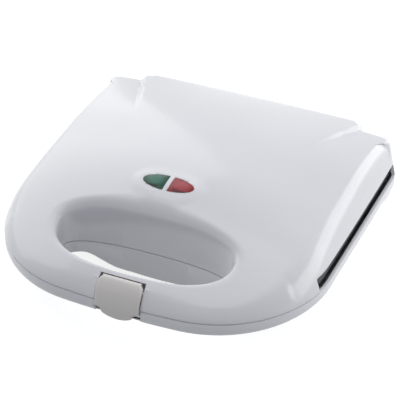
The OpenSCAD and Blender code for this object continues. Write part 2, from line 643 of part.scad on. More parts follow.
// Tiers of the lens: how wide, and how far over the lid's top
lens_tiers = [[1, 0.1], [0.94, 0.5], [0.6, 0.8]];
function lens_tier(w, rise) = [for (q = lens_ring) let (r = mix(lens_mid, q, w)) on_top(r, -rise)];
module lens() {
    n = len(lens_ring);
    tiers = concat([[for (q = lens_ring) [q[0], q[1], lens_floor]]],
        [for (t = lens_tiers) lens_tier(t[0], t[1])]);
    m = len(tiers);
    sides = [for (k = [0:m - 2]) for (i = [0:n - 1]) let (j = (i + 1) % n,
        a = k * n + i, b = k * n + j, c = (k + 1) * n + j, d = (k + 1) * n + i)
        for (f = [[a, c, b], [a, d, c]]) f];
    caps = [for (i = [0:n - 1]) let (j = (i + 1) % n)
        for (f = [[(m - 1) * n + i, m * n, (m - 1) * n + j], [i, j, m * n + 1]]) f];
    polyhedron(
        points = concat([for (t = tiers) for (q = t) q],
            [on_top(lens_mid, -0.9), [lens_mid[0], lens_mid[1], lens_floor]]),
        faces = concat(sides, caps));
}
module lens_green() color([0.15, 0.45, 0.35]) in_frame() mirror([1, 0, 0]) lens();
module lens_red() color([0.7, 0.25, 0.3]) in_frame() lens();
module lamp(side) in_frame() {
    rod([side * lamp_x - 5, lamp_y, 32.3], [side * lamp_x + 5, lamp_y, 32.3], 2.3);
    rod([side * lamp_x - 8, lamp_y, 32.3], [side * lamp_x + 8, lamp_y, 32.3], 0.4);
}
module lamp_green() color([0.8, 0.9, 0.8]) lamp(-1);
module lamp_red() color([0.9, 0.8, 0.7]) lamp(1);
module lamp_holder() color([0.95, 0.95, 0.95]) in_frame() difference() {
    union() {
        translate([-31, lamp_y - 11, 35]) cube([62, 22, 1.45]);
        for (s = [-1, 1]) for (d = [-6.2, 6.2]) translate([s * lamp_x + d - 0.6, lamp_y - 3, 31.2])
            cube([1.2, 6, 4]);
    }
    for (s = [-1, 1]) {
        translate([s * lamp_x - 5, lamp_y - 4, 34]) cube([10, 8, 4]);
        translate([s * 27, lamp_y, 34]) cylinder(h = 4, d = 2.6);
        rod([s * lamp_x - 9, lamp_y, 32.3], [s * lamp_x + 9, lamp_y, 32.3], 0.45);
    }
}
module lamp_holder_screws() color(steel) in_frame() for (s = [-1, 1])
    translate([s * 27, lamp_y, 40]) rotate([180, 0, 0]) screw(5.05, 1.95, 4, 1.4);
module lid_leads() color([0.75, 0.72, 0.65]) in_frame() {
    z = 31.6;
    pin_z = plate_h - rod_z;
    wire([[18.6, axis_y, axis_z], [21, axis_y - 1, axis_z + 1], [22, axis_y - 6, 14], [20, 208, z - 4],
        [14, 196, z], [14, 110, z + 1], [20.6, 92, z + 2], [19, lamp_y, 32.3]], 0.9);
    wire([[14, 160, z], [-20, 158, z + 2], [-42, 148, z + 3], [-43, 143.1, z + 1.5]], 0.9);
    wire([[-19, lamp_y, 32.3], [-21, 92, z + 2], [-14, 112, z + 2], [14, 118, z + 0.9]], 0.9);
    wire([[12, 204.4, pin_z], [15, 207, pin_z + 1.2], [20, 208, z - 4]], 0.9);
    wire([[-12, 204.4, pin_z], [-16, 204.5, z - 3], [-22, 196, z + 0.4], [-48, 165, z + 2.4],
        [-49, 143.1, z + 1.5]], 0.9);
}
module latch_pin() color(steel) in_frame() rod([-recess_hw - 3.2, latch_axis[0], latch_axis[1]],
    [recess_hw + 3.2, latch_axis[0], latch_axis[1]], latch_pin_r);

// ---- latch ------------------------------------------------------------------------------------
module latch_profile() difference() {
    union() {
        translate(latch_axis) circle(3);
        polygon([[9.8, 14.2], [9.6, 15.3], [8.6, 15.6], [7.2, 15.9], [5.7, 15.4], [3.4, 13.2], [0.9, 9.6],
            [-0.9, 5], [-1.9, 0.5], [-2.2, -3], [-2.1, -7], [-1.5, -9.6], [-0.4, -10.5], [0.5, -9.6], [0.9, -8],
            [2.6, -7.6], [2.6, -5.9], [0.9, -5.9], [0.7, -2.5], [0.9, 0.5], [1.9, 4.5], [4.6, 8],
            [9.4, 11.8]]);
    }
    translate(latch_axis) circle(latch_pin_r + 0.05);
}
latch_top = 15.95;
latch_round = 3;
latch_step = -2.5;
tongue_hw = 11;
module latch() color([0.76, 0.75, 0.74]) in_frame() intersection() {
    across(-latch_w / 2, latch_w / 2) latch_profile();
    translate([0, 20, 0]) rotate([90, 0, 0]) linear_extrude(40) union() {
        translate([-latch_w / 2, latch_step]) square([latch_w, latch_top - latch_round - latch_step]);
        translate([latch_round - latch_w / 2, 0]) square([latch_w - 2 * latch_round, latch_top]);
        for (s = [-1, 1]) translate([s * (latch_w / 2 - latch_round), latch_top - latch_round])
            circle(latch_round);
        intersection() {
            translate([0, 7.7]) circle(18.2, $fn = 96);
            translate([-tongue_hw, -20]) square([2 * tongue_hw, 30]);
        }
    }
}

base_shell();
base_cooking_plate();
base_plate_screws();
base_heating_element();
base_element_clamps();
base_heat_shield();
base_shield_screws();
base_leads();
terminal_block();
terminal_block_screws();
thermal_fuse();
cord_gland();
cord_clamp();
cord_clamp_screws();
foot_front_left();
foot_front_right();
foot_rear_left();
foot_rear_right();
hinge_pin_left();
hinge_pin_right();
hinge_lead_sleeve();
lid_shell();
lid_cooking_plate();
lid_plate_screws();
lid_heating_element();
lid_element_clamps();
lid_heat_shield();
lid_shield_screws();
lid_leads();
thermostat();
thermostat_bracket();
thermostat_screws();
lens_green();
lens_red();
lamp_green();
lamp_red();
lamp_holder();
lamp_holder_screws();
latch_pin();
latch();
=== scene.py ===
"""Looks of a countertop sandwich toaster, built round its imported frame.

Sizes are written in millimetres in the toaster's own layout: x to the right, y from the middle of the
handle's front edge to the hinge, z up from the parting plane. in_frame() turns them into metres.
"""

import json
import logging
import math
from dataclasses import dataclass, field
from enum import Enum
from typing import Callable, Iterable, Sequence

import bmesh
import bpy
import numpy as np
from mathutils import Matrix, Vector
from mathutils.geometry import delaunay_2d_cdt

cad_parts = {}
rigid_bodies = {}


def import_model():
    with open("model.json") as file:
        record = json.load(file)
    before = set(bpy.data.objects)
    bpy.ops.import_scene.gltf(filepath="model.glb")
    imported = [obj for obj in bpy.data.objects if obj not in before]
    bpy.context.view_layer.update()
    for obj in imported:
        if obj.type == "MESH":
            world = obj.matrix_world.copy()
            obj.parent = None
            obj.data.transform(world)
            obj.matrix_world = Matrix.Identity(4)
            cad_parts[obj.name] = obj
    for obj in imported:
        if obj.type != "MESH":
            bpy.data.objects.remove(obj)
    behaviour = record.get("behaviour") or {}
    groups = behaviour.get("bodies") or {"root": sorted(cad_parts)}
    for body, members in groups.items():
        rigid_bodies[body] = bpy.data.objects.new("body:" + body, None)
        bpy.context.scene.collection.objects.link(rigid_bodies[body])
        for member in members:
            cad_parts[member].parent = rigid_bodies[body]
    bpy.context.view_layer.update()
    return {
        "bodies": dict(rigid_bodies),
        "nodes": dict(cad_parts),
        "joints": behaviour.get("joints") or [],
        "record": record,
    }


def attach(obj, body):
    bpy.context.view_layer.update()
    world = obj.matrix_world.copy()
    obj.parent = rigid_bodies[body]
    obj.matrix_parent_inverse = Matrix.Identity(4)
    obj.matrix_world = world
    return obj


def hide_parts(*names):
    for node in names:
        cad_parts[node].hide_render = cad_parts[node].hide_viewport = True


LOG = logging.getLogger("toaster")
MM = 1000  # millimetres in a metre
WELD = 1e-7  # points closer than this are one
SIGHTS = ("Camera", "Glossy", "Transmission")  # rays that look at the background

Point = Sequence[float]
Pair = tuple[float, float]
Colour = tuple[float, float, float]
Piece = bpy.types.Object
Socket = bpy.types.NodeSocket
Holder = bpy.types.Material | bpy.types.World


# ---- sizes and forms


def smooth(t: np.ndarray | float) -> np.ndarray | float:
    """Returns the smooth step of t, clamped to 0..1."""
    u = np.clip(t, 0.0, 1.0)
    return u * u * (3 - 2 * u)


def mix(a: np.ndarray | float, b: np.ndarray | float, t: np.ndarray | float) -> np.ndarray | float:
    """Returns a at t = 0 and b at t = 1."""
    return a + (b - a) * t


def bezier(a: np.ndarray, b: np.ndarray, c: np.ndarray, n: int) -> np.ndarray:
    """Samples a quadratic curve.

    Args:
        a, b, c: The first, control and last points.
        n: The number of steps.

    Returns:
        n + 1 points from a to c.
    """
    t = np.linspace(0, 1, n + 1)[:, None]
    return mix(mix(a, b, t), mix(b, c, t), t)


class Side(Enum):
    """Which half of the toaster a piece belongs to."""

    BASE = "base"
    LID = "lid"


@dataclass(frozen=True)
class Sizes:
    """The toaster's main sizes in millimetres, as in its frame.

    Widths with _hw are halves, falls and insets are measured from the crown and the rim, heights from the
    parting plane, and places with _y from the middle of the handle's front edge.
    """

    body_w: float = 230.0
    rim_d: float = 223.0
    front_r: float = 467.0
    corner_r: float = 80.0
    rear_r: float = 14.0
    part_h: float = 36.0
    wall: float = 2.4
    rim_gap: float = 0.5
    crown_h: float = 46.32
    crown_y: float = 115.0
    front_fall: float = 31.5
    rear_fall: float = 18.0
    side_fall: float = 20.0
    front_inset: float = 8.0
    side_inset: float = 11.5
    rear_inset: float = 3.0
    slot_h: float = 9.0
    slot_y: float = 65.0
    slot_end: float = 213.0
    pod_h: float = 1.6
    hood_hw: float = 85.5
    hood_over: float = 14.2
    hood_inset: float = 8.0
    ear_drop: float = 2.5
    open_y: float = 42.0
    open_hw: float = 60.5
    open_rear: float = 17.0
    open_front: float = 27.0
    open_flare: float = 1.2
    band_h: float = 9.5
    tub_h: float = 30.0
    tub_bow: float = 17.0
    tub_bow_hw: float = 75.0
    tub_flat_hw: float = 28.0
    tub_slope: float = 30.0
    flank_in: float = 26.0
    rear_in: float = 9.0
    axis_y: float = 229.4
    axis_z: float = 3.0
    knuckle_r: float = 4.6
    latch_w: float = 31.0
    latch_gap: float = 0.6
    latch_proud: float = 2.2
    lamp_y: float = 80.0
    lens_a: float = 18.0
    lens_b: float = 7.0
    divider_w: float = 3.4
    face_z: float = 4.2
    plate_gap: float = 0.3

    @property
    def hw(self) -> float:
        """Half the width over the rim."""
        return self.body_w / 2

    @property
    def low(self) -> float:
        """Height of the lid's rim over the parting plane."""
        return self.rim_gap / 2

    @property
    def hood_y(self) -> float:
        """Distance of the hood's rear edge from the front."""
        return self.rim_d + self.hood_over

    @property
    def y_mid(self) -> float:
        """Shift of the layout that centres the toaster on the frame's origin."""
        return (self.latch_proud - self.hood_y) / 2

    @property
    def recess_hw(self) -> float:
        """Half the width of the latch's recess."""
        return self.latch_w / 2 + self.latch_gap

    @property
    def corner(self) -> Pair:
        """Centre of the front corner's arc."""
        x = self.hw - self.corner_r
        return x, self.front_r - math.sqrt((self.front_r - self.corner_r) ** 2 - x * x)


SIZE = Sizes()


@dataclass(frozen=True)
class Form:
    """The curved faces of the two shells, as functions of the place on the plan.

    Attributes:
        front_y: Where the middle line's fall to the front ends.
        rear_over: How far behind the rim its fall to the rear ends.
        front_power, rear_power, side_power: How late each fall sets in.
        ease_y, ease_run, ease_power: Where the fall to the sides lessens towards the rear.
        ear_y, ear_run, ear_edge: Where the top steps down beside the hood, and how steeply.
        hood_slope: How much the hood narrows for each millimetre towards the front.
        pod_a, pod_b: Half the light pod's length and width.
        pod_reach, pod_edge: Share of them at which its side ends, and the side's width.
        pod_rear, pod_fade: Where the pod ends towards the rear, and over what run.
        open_front_power, open_rear_power: How square the handle opening is on each side.
        tub_over: How far behind the opening's middle the tub starts.
    """

    s: Sizes = SIZE
    front_y: float = 10.0
    rear_over: float = 6.0
    front_power: float = 2.1
    rear_power: float = 2.2
    side_power: float = 2.2
    ease_y: float = 85.0
    ease_run: float = 150.0
    ease_power: float = 1.7
    ear_y: float = 150.0
    ear_run: float = 72.0
    ear_edge: float = 2.5
    hood_slope: float = 0.36
    pod_a: float = 27.0
    pod_b: float = 17.0
    pod_reach: float = 1.05
    pod_edge: float = 0.3
    pod_rear: float = 98.0
    pod_fade: float = 22.0
    open_front_power: float = 2.2
    open_rear_power: float = 2.6
    tub_over: float = 3.0

    def ridge(self, y: np.ndarray) -> np.ndarray:
        """Returns the height of the lid's middle line at y.

        Args:
            y: Places along it.

        Returns:
            Heights in millimetres.
        """
        s = self.s
        front = np.maximum(s.crown_y - y, 0) / (s.crown_y - self.front_y)
        rear = np.maximum(y - s.crown_y, 0) / (s.rim_d + self.rear_over - s.crown_y)
        return s.crown_h - s.front_fall * front**self.front_power - s.rear_fall * rear**self.rear_power

    def top(self, x: np.ndarray, y: np.ndarray) -> np.ndarray:
        """Returns the height of the lid's top over the parting plane.

        Args:
            x, y: Places on the plan.

        Returns:
            Heights in millimetres.
        """
        s = self.s
        ease = 1 - (np.maximum(y - self.ease_y, 0) / self.ease_run) ** self.ease_power
        across = (np.abs(x) / (s.hw - s.side_inset)) ** self.side_power
        z = self.ridge(y) - s.side_fall * ease * across
        hood = s.hood_hw - self.hood_slope * (s.rim_d + self.rear_over - y)
        beside = 1 - smooth((hood + self.ear_edge - np.abs(x)) / self.ear_edge)
        z = z - s.ear_drop * smooth((y - self.ear_y) / self.ear_run) * beside
        r = np.hypot(x / self.pod_a, (y - s.lamp_y) / self.pod_b)
        swell = smooth((self.pod_reach - r) / self.pod_edge)
        return z + s.pod_h * swell * smooth((self.pod_rear - y) / self.pod_fade)

    def height(self, x: float, y: float) -> float:
        """Returns the height of the lid's top at one place."""
        return float(self.top(np.array(x), np.array(y)))

    def opening(self, c: float, t: float, grow: float) -> float:
        """Returns the handle opening's radius in a direction from its middle.

        Args:
            c, t: The direction's parts along x and y.
            grow: How much wider than the opening at the parting plane.

        Returns:
            The radius in millimetres.
        """
        s = self.s
        n = self.open_rear_power if t > 0 else self.open_front_power
        a = s.open_hw + grow
        b = s.open_rear if t > 0 else s.open_front + grow / 2
        return ((abs(c) / a) ** n + (abs(t) / b) ** n) ** (-1 / n)

    def opening_at(self, p: Point, grow: float, off: float) -> np.ndarray:
        """Returns the point of the opening's edge that faces a rim point.

        Args:
            p: The rim point.
            grow: How much wider than the opening at the parting plane.
            off: How far the point is moved outward.

        Returns:
            The point on the plan.
        """
        d = np.array([p[0], p[1] - self.s.open_y])
        d = d / np.hypot(*d)
        return np.array([0, self.s.open_y]) + d * (self.opening(d[0], d[1], grow) + off)

    def deepen(self, x: np.ndarray, y: np.ndarray) -> np.ndarray:
        """Returns how far the base's bottom lies under its rim band.

        Args:
            x, y: Places on the plan.

        Returns:
            Depths in millimetres, none in front of the tub, whose front curves back beside the opening.
        """
        s = self.s
        beside = (np.abs(x) - s.tub_flat_hw) / (s.tub_bow_hw - s.tub_flat_hw)
        front = s.open_y + self.tub_over + s.tub_bow * smooth(beside)
        return (s.tub_h - s.band_h) * smooth((y - front) / s.tub_slope)


FORM = Form()


def in_frame(points: np.ndarray) -> np.ndarray:
    """Returns points of the layout, in millimetres, as places in the frame, in metres."""
    return (np.asarray(points, float) + [0, SIZE.y_mid, SIZE.part_h]) / MM


# ---- shader expressions


class Value:
    """A socket of a node tree with the arithmetic of numbers."""

    def __init__(self, net: "Net", socket: Socket) -> None:
        """Keeps the tree and the output socket."""
        self.net = net
        self.socket = socket

    def _math(self, operation: str, *args: "Value | float") -> "Value":
        """Adds a Math node for the operation."""
        return self.net.node("ShaderNodeMath", {"operation": operation}, dict(enumerate(args)))

    def __add__(self, other: "Value | float") -> "Value":
        """Returns the sum."""
        return self._math("ADD", self, other)

    __radd__ = __add__

    def __sub__(self, other: "Value | float") -> "Value":
        """Returns the difference."""
        return self._math("SUBTRACT", self, other)

    def __rsub__(self, other: float) -> "Value":
        """Returns the number less this value."""
        return self._math("SUBTRACT", other, self)

    def __mul__(self, other: "Value | float") -> "Value":
        """Returns the product."""
        return self._math("MULTIPLY", self, other)

    __rmul__ = __mul__

    def __truediv__(self, other: "Value | float") -> "Value":
        """Returns the quotient."""
        return self._math("DIVIDE", self, other)

    def __pow__(self, other: float) -> "Value":
        """Returns the power."""
        return self._math("POWER", self, other)

    def absolute(self) -> "Value":
        """Returns the value without its sign."""
        return self._math("ABSOLUTE", self)

    def sine(self) -> "Value":
        """Returns the sine."""
        return self._math("SINE", self)

    def larger(self, other: "Value") -> "Value":
        """Returns the larger of two values."""
        return self._math("MAXIMUM", self, other)

    def step(self, low: float, high: float) -> "Value":
        """Returns a smooth step from 0 at low to 1 at high."""
        return self.net.node(
            "ShaderNodeMapRange",
            {"interpolation_type": "SMOOTHSTEP"},
            {"Value": self, "From Min": low, "From Max": high},
        )

    def part(self, axis: str) -> "Value":
        """Returns the X, Y or Z part of a vector."""
        return self.net.node("ShaderNodeSeparateXYZ", {}, {"Vector": self}, axis)


class Net:
    """The node tree of a material or a world, written as expressions."""

    def __init__(self, holder: Holder) -> None:
        """Takes over the holder's tree and empties it."""
        holder.use_nodes = True
        self.holder = holder
        self.tree = holder.node_tree
        self.tree.nodes.clear()

    def node(
        self,
        kind: str,
        settings: dict[str, object] | None = None,
        values: dict[str | int, object] | None = None,
        out: str | int = 0,
    ) -> Value:
        """Adds a node: its settings first, then the values or links of its sockets.

        Args:
            kind: The node's type.
            settings: The node's own settings.
            values: Numbers, colours or Values for its sockets, by name or place.
            out: The output to return.

        Returns:
            The chosen output.
        """
        made = self.tree.nodes.new(kind)
        for key, value in (settings or {}).items():
            setattr(made, key, value)
        for key, value in (values or {}).items():
            socket = made.inputs[key]
            if isinstance(value, Value):
                self.tree.links.new(value.socket, socket)
            elif isinstance(value, tuple) and socket.type == "RGBA":
                socket.default_value = (*value, 1)
            else:
                socket.default_value = value
        return Value(self, made.outputs[out])

    def mix(self, a: "Value | Colour", b: "Value | Colour", factor: "Value | float") -> Value:
        """Returns the mix of two colours."""
        return self.node("ShaderNodeMix", {"data_type": "RGBA"}, {0: factor, 6: a, 7: b}, 2)

    def place(self) -> Value:
        """Returns the place on the piece in metres."""
        return self.node("ShaderNodeTexCoord", out="Object")

    def scaled(self, x: float, y: float, z: float) -> Value:
        """Returns the place with each axis multiplied."""
        values = {"Vector": self.place(), "Scale": [x, y, z]}
        return self.node("ShaderNodeMapping", {"vector_type": "POINT"}, values)

    def noise(self, scale: float, detail: float = 3, rough: float = 0.5, at: Value | None = None) -> Value:
        """Returns noise from 0 to 1 with that many waves in a metre."""
        values = {"Vector": at or self.place(), "Scale": scale, "Detail": detail, "Roughness": rough}
        return self.node("ShaderNodeTexNoise", {}, values)

    def sight(self) -> Value:
        """Returns 1 for rays that look at the background, and 0 for those that carry only its light."""
        seen, *others = (self.node("ShaderNodeLightPath", out=f"Is {kind} Ray") for kind in SIGHTS)
        for other in others:
            seen = seen.larger(other)
        return seen

    def surface(
        self,
        colour: "Value | Colour",
        roughness: "Value | float",
        height: Value | None = None,
        depth: float = 0.0,
        **fixed: object,
    ) -> bpy.types.Material:
        """Ends the material in a Principled shader.

        Args:
            colour: Base colour.
            roughness: Roughness, a number or a Value.
            height: What the bump follows.
            depth: The bump's depth in metres.
            fixed: Numbers set on the shader's own sockets, with _ for a space.

        Returns:
            The finished material.
        """
        values: dict[str | int, object] = {"Base Color": colour, "Roughness": roughness}
        for key, value in fixed.items():
            values[key.replace("_", " ")] = value
        if height is not None:
            bump = {"Height": height, "Distance": depth, "Strength": 1.0}
            values["Normal"] = self.node("ShaderNodeBump", {}, bump)
        return self.end(self.node("ShaderNodeBsdfPrincipled", {}, values))

    def end(self, shader: Value) -> Holder:
        """Links a shader to the tree's output and returns the tree's holder.

        Args:
            shader: The closing shader.

        Returns:
            The finished material or world.
        """
        kind = "World" if isinstance(self.holder, bpy.types.World) else "Material"
        made = self.tree.nodes.new(f"ShaderNodeOutput{kind}")
        self.tree.links.new(shader.socket, made.inputs["Surface"])
        return self.holder


# ---- finishes


def dimmed(colour: Colour, share: float) -> Colour:
    """Returns a colour at a share of its strength."""
    return tuple(c * share for c in colour)


@dataclass(frozen=True)
class Finish:
    """A procedural finish."""

    name: str
    colour: Colour
    roughness: float = 0.3

    def net(self) -> Net:
        """Returns the empty net of the finish's new material."""
        return Net(bpy.data.materials.new(self.name))

    def material(self) -> bpy.types.Material:
        """Returns the finish as a material."""
        raise NotImplementedError


@dataclass(frozen=True)
class Moulding(Finish):
    """Moulded plastic: a faint flow of tone, a fine skin and handling marks in its gloss.

    Attributes:
        grain, relief: The skin's waves in a metre, and its depth in metres.
        spread: How far the marks change the roughness.
        coat: The gloss over the plastic.
        flow, marks: Waves in a metre of the tone and of the marks.
        shade: The darker tone's share of the colour.
    """

    grain: float = 900.0
    relief: float = 0.000004
    spread: float = 0.06
    coat: float = 0.0
    flow: float = 9.0
    marks: float = 55.0
    shade: float = 0.965

    def material(self) -> bpy.types.Material:
        """Returns the finish as a material."""
        net = self.net()
        flow = net.noise(self.flow, 2)
        marks = net.noise(self.marks, 4, 0.6)
        skin = net.noise(self.grain, 2, 0.4)
        colour = net.mix(dimmed(self.colour, self.shade), self.colour, flow.step(0.35, 0.65))
        rough = marks * self.spread + (self.roughness - self.spread / 2)
        height = skin * 0.7 + marks * 0.3
        gloss = {"Coat_Weight": self.coat, "Coat_Roughness": 0.06}
        return net.surface(colour, rough, height, self.relief, IOR=1.5, **gloss)


@dataclass(frozen=True)
class Coating(Finish):
    """Non-stick coating sprayed on a casting: fine pores, flecks and a satin gloss.

    Attributes:
        fleck, fleck_scale: The flecks' colour, and how many lie along a metre.
        pores, relief: The pores' waves in a metre, and their depth in metres.
        cloud: Waves in a metre of the gloss.
    """

    fleck: Colour = (0.09, 0.09, 0.095)
    fleck_scale: float = 700.0
    pores: float = 1500.0
    relief: float = 0.000012
    cloud: float = 25.0

    def material(self) -> bpy.types.Material:
        """Returns the finish as a material."""
        net = self.net()
        pores = net.noise(self.pores, 3, 0.55)
        cloud = net.noise(self.cloud, 3)
        cells = {"Vector": net.place(), "Scale": self.fleck_scale}
        flecks = net.node("ShaderNodeTexVoronoi", {}, cells, "Distance")
        spots = 1 - flecks.step(0.05, 0.16)
        colour = net.mix(self.colour, self.fleck, spots * cloud.step(0.3, 0.7))
        rough = cloud * 0.12 + pores * 0.08 + (self.roughness - 0.1)
        return net.surface(colour, rough, pores, self.relief, IOR=1.45)


@dataclass(frozen=True)
class Metal(Finish):
    """A metal with fine lines along one axis and a clouded gloss.

    Attributes:
        stretch, relief: The lines' waves in a metre along each axis, and their depth in metres.
        tint, tint_share: The colour that heat leaves in clouds, and its strength.
        cloud: Waves in a metre of the clouds.
        shade: The lines' share of the colour.
    """

    stretch: tuple[float, float, float] = (40.0, 2200.0, 2200.0)
    relief: float = 0.000003
    tint: Colour = (0.5, 0.42, 0.32)
    tint_share: float = 0.0
    cloud: float = 60.0
    shade: float = 0.88

    def material(self) -> bpy.types.Material:
        """Returns the finish as a material."""
        net = self.net()
        lines = net.noise(1.0, 3, 0.6, net.scaled(*self.stretch))
        cloud = net.noise(self.cloud, 3)
        base = net.mix(dimmed(self.colour, self.shade), self.colour, lines)
        colour = net.mix(base, self.tint, cloud.step(0.45, 0.75) * self.tint_share)
        rough = lines * 0.1 + cloud * 0.1 + (self.roughness - 0.1)
        return net.surface(colour, rough, lines, self.relief, Metallic=1.0)


@dataclass(frozen=True)
class Earthen(Finish):
    """Unglazed ceramic or fibre: matt, grainy and a little mottled.

    Attributes:
        grain, relief: The grain's waves in a metre, and its depth in metres.
        cloud, shade: The mottle's waves in a metre, and its share of the colour.
    """

    grain: float = 1800.0
    relief: float = 0.00002
    cloud: float = 120.0
    shade: float = 0.86

    def material(self) -> bpy.types.Material:
        """Returns the finish as a material."""
        net = self.net()
        grit = net.noise(self.grain, 4, 0.6)
        cloud = net.noise(self.cloud, 3)
        colour = net.mix(dimmed(self.colour, self.shade), self.colour, cloud.step(0.3, 0.7))
        return net.surface(colour, grit * 0.1 + self.roughness, grit, self.relief)


@dataclass(frozen=True)
class Sleeving(Finish):
    """Woven glass fibre sleeving: two sets of threads crossing on the slant.

    Attributes:
        pitch, relief: The threads' waves, in radians to a metre, and their depth in metres.
        shade: The gaps' share of the colour.
    """

    pitch: float = 2600.0
    relief: float = 0.00008
    shade: float = 0.6

    def material(self) -> bpy.types.Material:
        """Returns the finish as a material."""
        net = self.net()
        at = net.place()
        along = (at.part("X") + at.part("Z")) * self.pitch
        across = at.part("Y") * self.pitch
        weave = ((along + across).sine() * (along - across).sine()) * 0.5 + 0.5
        colour = net.mix(dimmed(self.colour, self.shade), self.colour, weave)
        return net.surface(colour, self.roughness, weave, self.relief)


@dataclass(frozen=True)
class Lens(Finish):
    """Tinted clear plastic over a lamp: deep at the rim, paler at the lamp, with painted shade in front of
    it.

    Attributes:
        edge: The colour at the rim.
        middle: The lamp's distance from the middle line in metres, as all lengths here.
        reach, core: The pale part's half width and depth, and where its edge fades.
        facets, relief: Waves of the facets over the lamp, in radians to a metre, and their depth.
        shade_strip, shade: The strength of the strip of painted shade, and its share of the rim's colour.
        shade_strip_y, shade_strip_soft: Where the painted shade's two edges lie before the lamp, and how soft
            they are.
        shade_strip_end: Where the painted shade fades out to its sides.
    """

    edge: Colour = (0.0, 0.1, 0.06)
    middle: float = 0.0095
    reach: Pair = (0.0082, 0.0062)
    core: Pair = (0.5, 1.15)
    facets: float = 5200.0
    relief: float = 0.00006
    shade_strip: float = 0.8
    shade: float = 0.15
    shade_strip_y: Pair = (0.0063, 0.0047)
    shade_strip_soft: Pair = (0.0005, 0.0006)
    shade_strip_end: Pair = (0.0035, 0.005)

    def material(self) -> bpy.types.Material:
        """Returns the finish as a material."""
        net = self.net()
        at = net.place()
        x = at.part("X").absolute() - self.middle
        y = at.part("Y") - (SIZE.lamp_y + SIZE.y_mid) / MM
        r = ((x / self.reach[0]) ** 2 + (y / self.reach[1]) ** 2) ** 0.5
        facets = (at.part("X") * self.facets).sine() * (at.part("Y") * self.facets).sine()
        core = 1 - (r + net.noise(420, 2) * 0.3).step(*self.core)
        colour = net.mix(self.edge, self.colour, core)
        # Painted shade: a dark strip on the lens in front of the lamp, where the housing's edge shades it.
        far, near = ((y + v).step(0.0, soft) for v, soft in zip(self.shade_strip_y, self.shade_strip_soft))
        shade_strip = far * (1 - near) * (1 - x.absolute().step(*self.shade_strip_end))
        colour = net.mix(colour, dimmed(self.edge, self.shade), shade_strip * self.shade_strip)
        gloss = {"Specular_IOR_Level": 0.3, "Coat_Weight": 0.2, "Coat_Roughness": 0.08}
        depth = {"Subsurface_Weight": 0.15, "Subsurface_Scale": 0.004}
        return net.surface(colour, self.roughness, facets * core, self.relief, IOR=1.5, **gloss, **depth)


@dataclass(frozen=True)
class Glass(Finish):
    """Clear lamp glass with faint streaks of a pale colour."""

    streak: Colour = (0.98, 0.98, 0.98)
    relief: float = 0.00001

    def material(self) -> bpy.types.Material:
        """Returns the finish as a material."""
        net = self.net()
        streak = net.noise(1.0, 2, 0.5, net.scaled(60, 900, 900))
        colour = net.mix(self.colour, self.streak, streak)
        rough = streak * 0.05 + self.roughness
        return net.surface(colour, rough, streak, self.relief, IOR=1.5, Transmission_Weight=0.85)


FINISHES: tuple[Finish, ...] = (
    Moulding("white_plastic", (0.80, 0.788, 0.812), 0.2, coat=0.25),
    Moulding("latch_plastic", (0.80, 0.745, 0.72), 0.42, grain=1400, relief=0.00001, spread=0.1),
    Coating("coated_aluminium", (0.042, 0.042, 0.045), 0.42),
    Metal("element_sheath", (0.30, 0.28, 0.26), 0.5, tint_share=0.6),
    Metal("shield_aluminium", (0.75, 0.76, 0.78), 0.3),
    Metal("steel", (0.58, 0.59, 0.61), 0.36, stretch=(900.0, 900.0, 900.0)),
    Metal("pin_steel", (0.74, 0.75, 0.77), 0.2, stretch=(30.0, 3000.0, 3000.0)),
    Sleeving("lead_sleeving", (0.72, 0.67, 0.56), 0.8),
    Moulding("dark_sleeving", (0.03, 0.03, 0.032), 0.6, relief=0.00002),
    Earthen("block_ceramic", (0.78, 0.75, 0.68), 0.75),
    Earthen("thermostat_ceramic", (0.72, 0.69, 0.62), 0.7),
    Metal("brass", (0.62, 0.47, 0.20), 0.35, stretch=(700.0, 700.0, 700.0)),
    Moulding("gland_plastic", (0.55, 0.55, 0.56), 0.5, relief=0.00001),
    Moulding("holder_plastic", (0.78, 0.78, 0.78), 0.5, relief=0.00001),
    Earthen("foot_rubber", (0.03, 0.03, 0.032), 0.75, grain=2600),
    Lens("green_lens", (0.015, 0.145, 0.09), 0.2, edge=(0.0, 0.06, 0.035)),
    Lens("red_lens", (0.4, 0.04, 0.055), 0.2, edge=(0.26, 0.003, 0.012)),
    Glass("lamp_glass", (0.93, 0.92, 0.9), 0.04),
)


class Finishes:
    """Makes each finish's material once and gives it to pieces by its slot's name."""

    def __init__(self, finishes: Iterable[Finish]) -> None:
        """Makes all the materials."""
        self.made = {f.name: f.material() for f in finishes}

    def dress(self, piece: Piece, slot: str) -> None:
        """Gives a piece the material of a slot in each of its own slots."""
        if not piece.material_slots:
            piece.data.materials.append(self.made[slot])
        for place in piece.material_slots:
            place.material = self.made[slot]


# ---- meshes


def unit(v: np.ndarray) -> np.ndarray:
    """Returns vectors at length 1."""
    return v / np.linalg.norm(v, axis=-1, keepdims=True)


def put(name: str, data: bpy.types.ID) -> Piece:
    """Makes an object in the scene from its data."""
    made = bpy.data.objects.new(name, data)
    bpy.context.scene.collection.objects.link(made)
    return made


def soften(data: bpy.types.Mesh, crease: float) -> None:
    """Smooths a mesh's faces, with sharp edges past an angle in degrees."""
    data.polygons.foreach_set("use_smooth", [True] * len(data.polygons))
    data.set_sharp_from_angle(angle=math.radians(crease))


def fix(piece: Piece, change: bpy.types.Modifier) -> None:
    """Turns a piece and its modifier into a plain mesh.

    Args:
        piece: The piece.
        change: Its modifier, which goes.
    """
    graph = bpy.context.evaluated_depsgraph_get()
    result = bpy.data.meshes.new_from_object(piece.evaluated_get(graph))
    piece.modifiers.remove(change)
    piece.data = result


def upright(outline: Sequence[Point], z: float) -> np.ndarray:
    """Returns an outline on the plan as points at a height."""
    p = np.asarray(outline, float)
    return np.column_stack([p, np.full(len(p), z)])


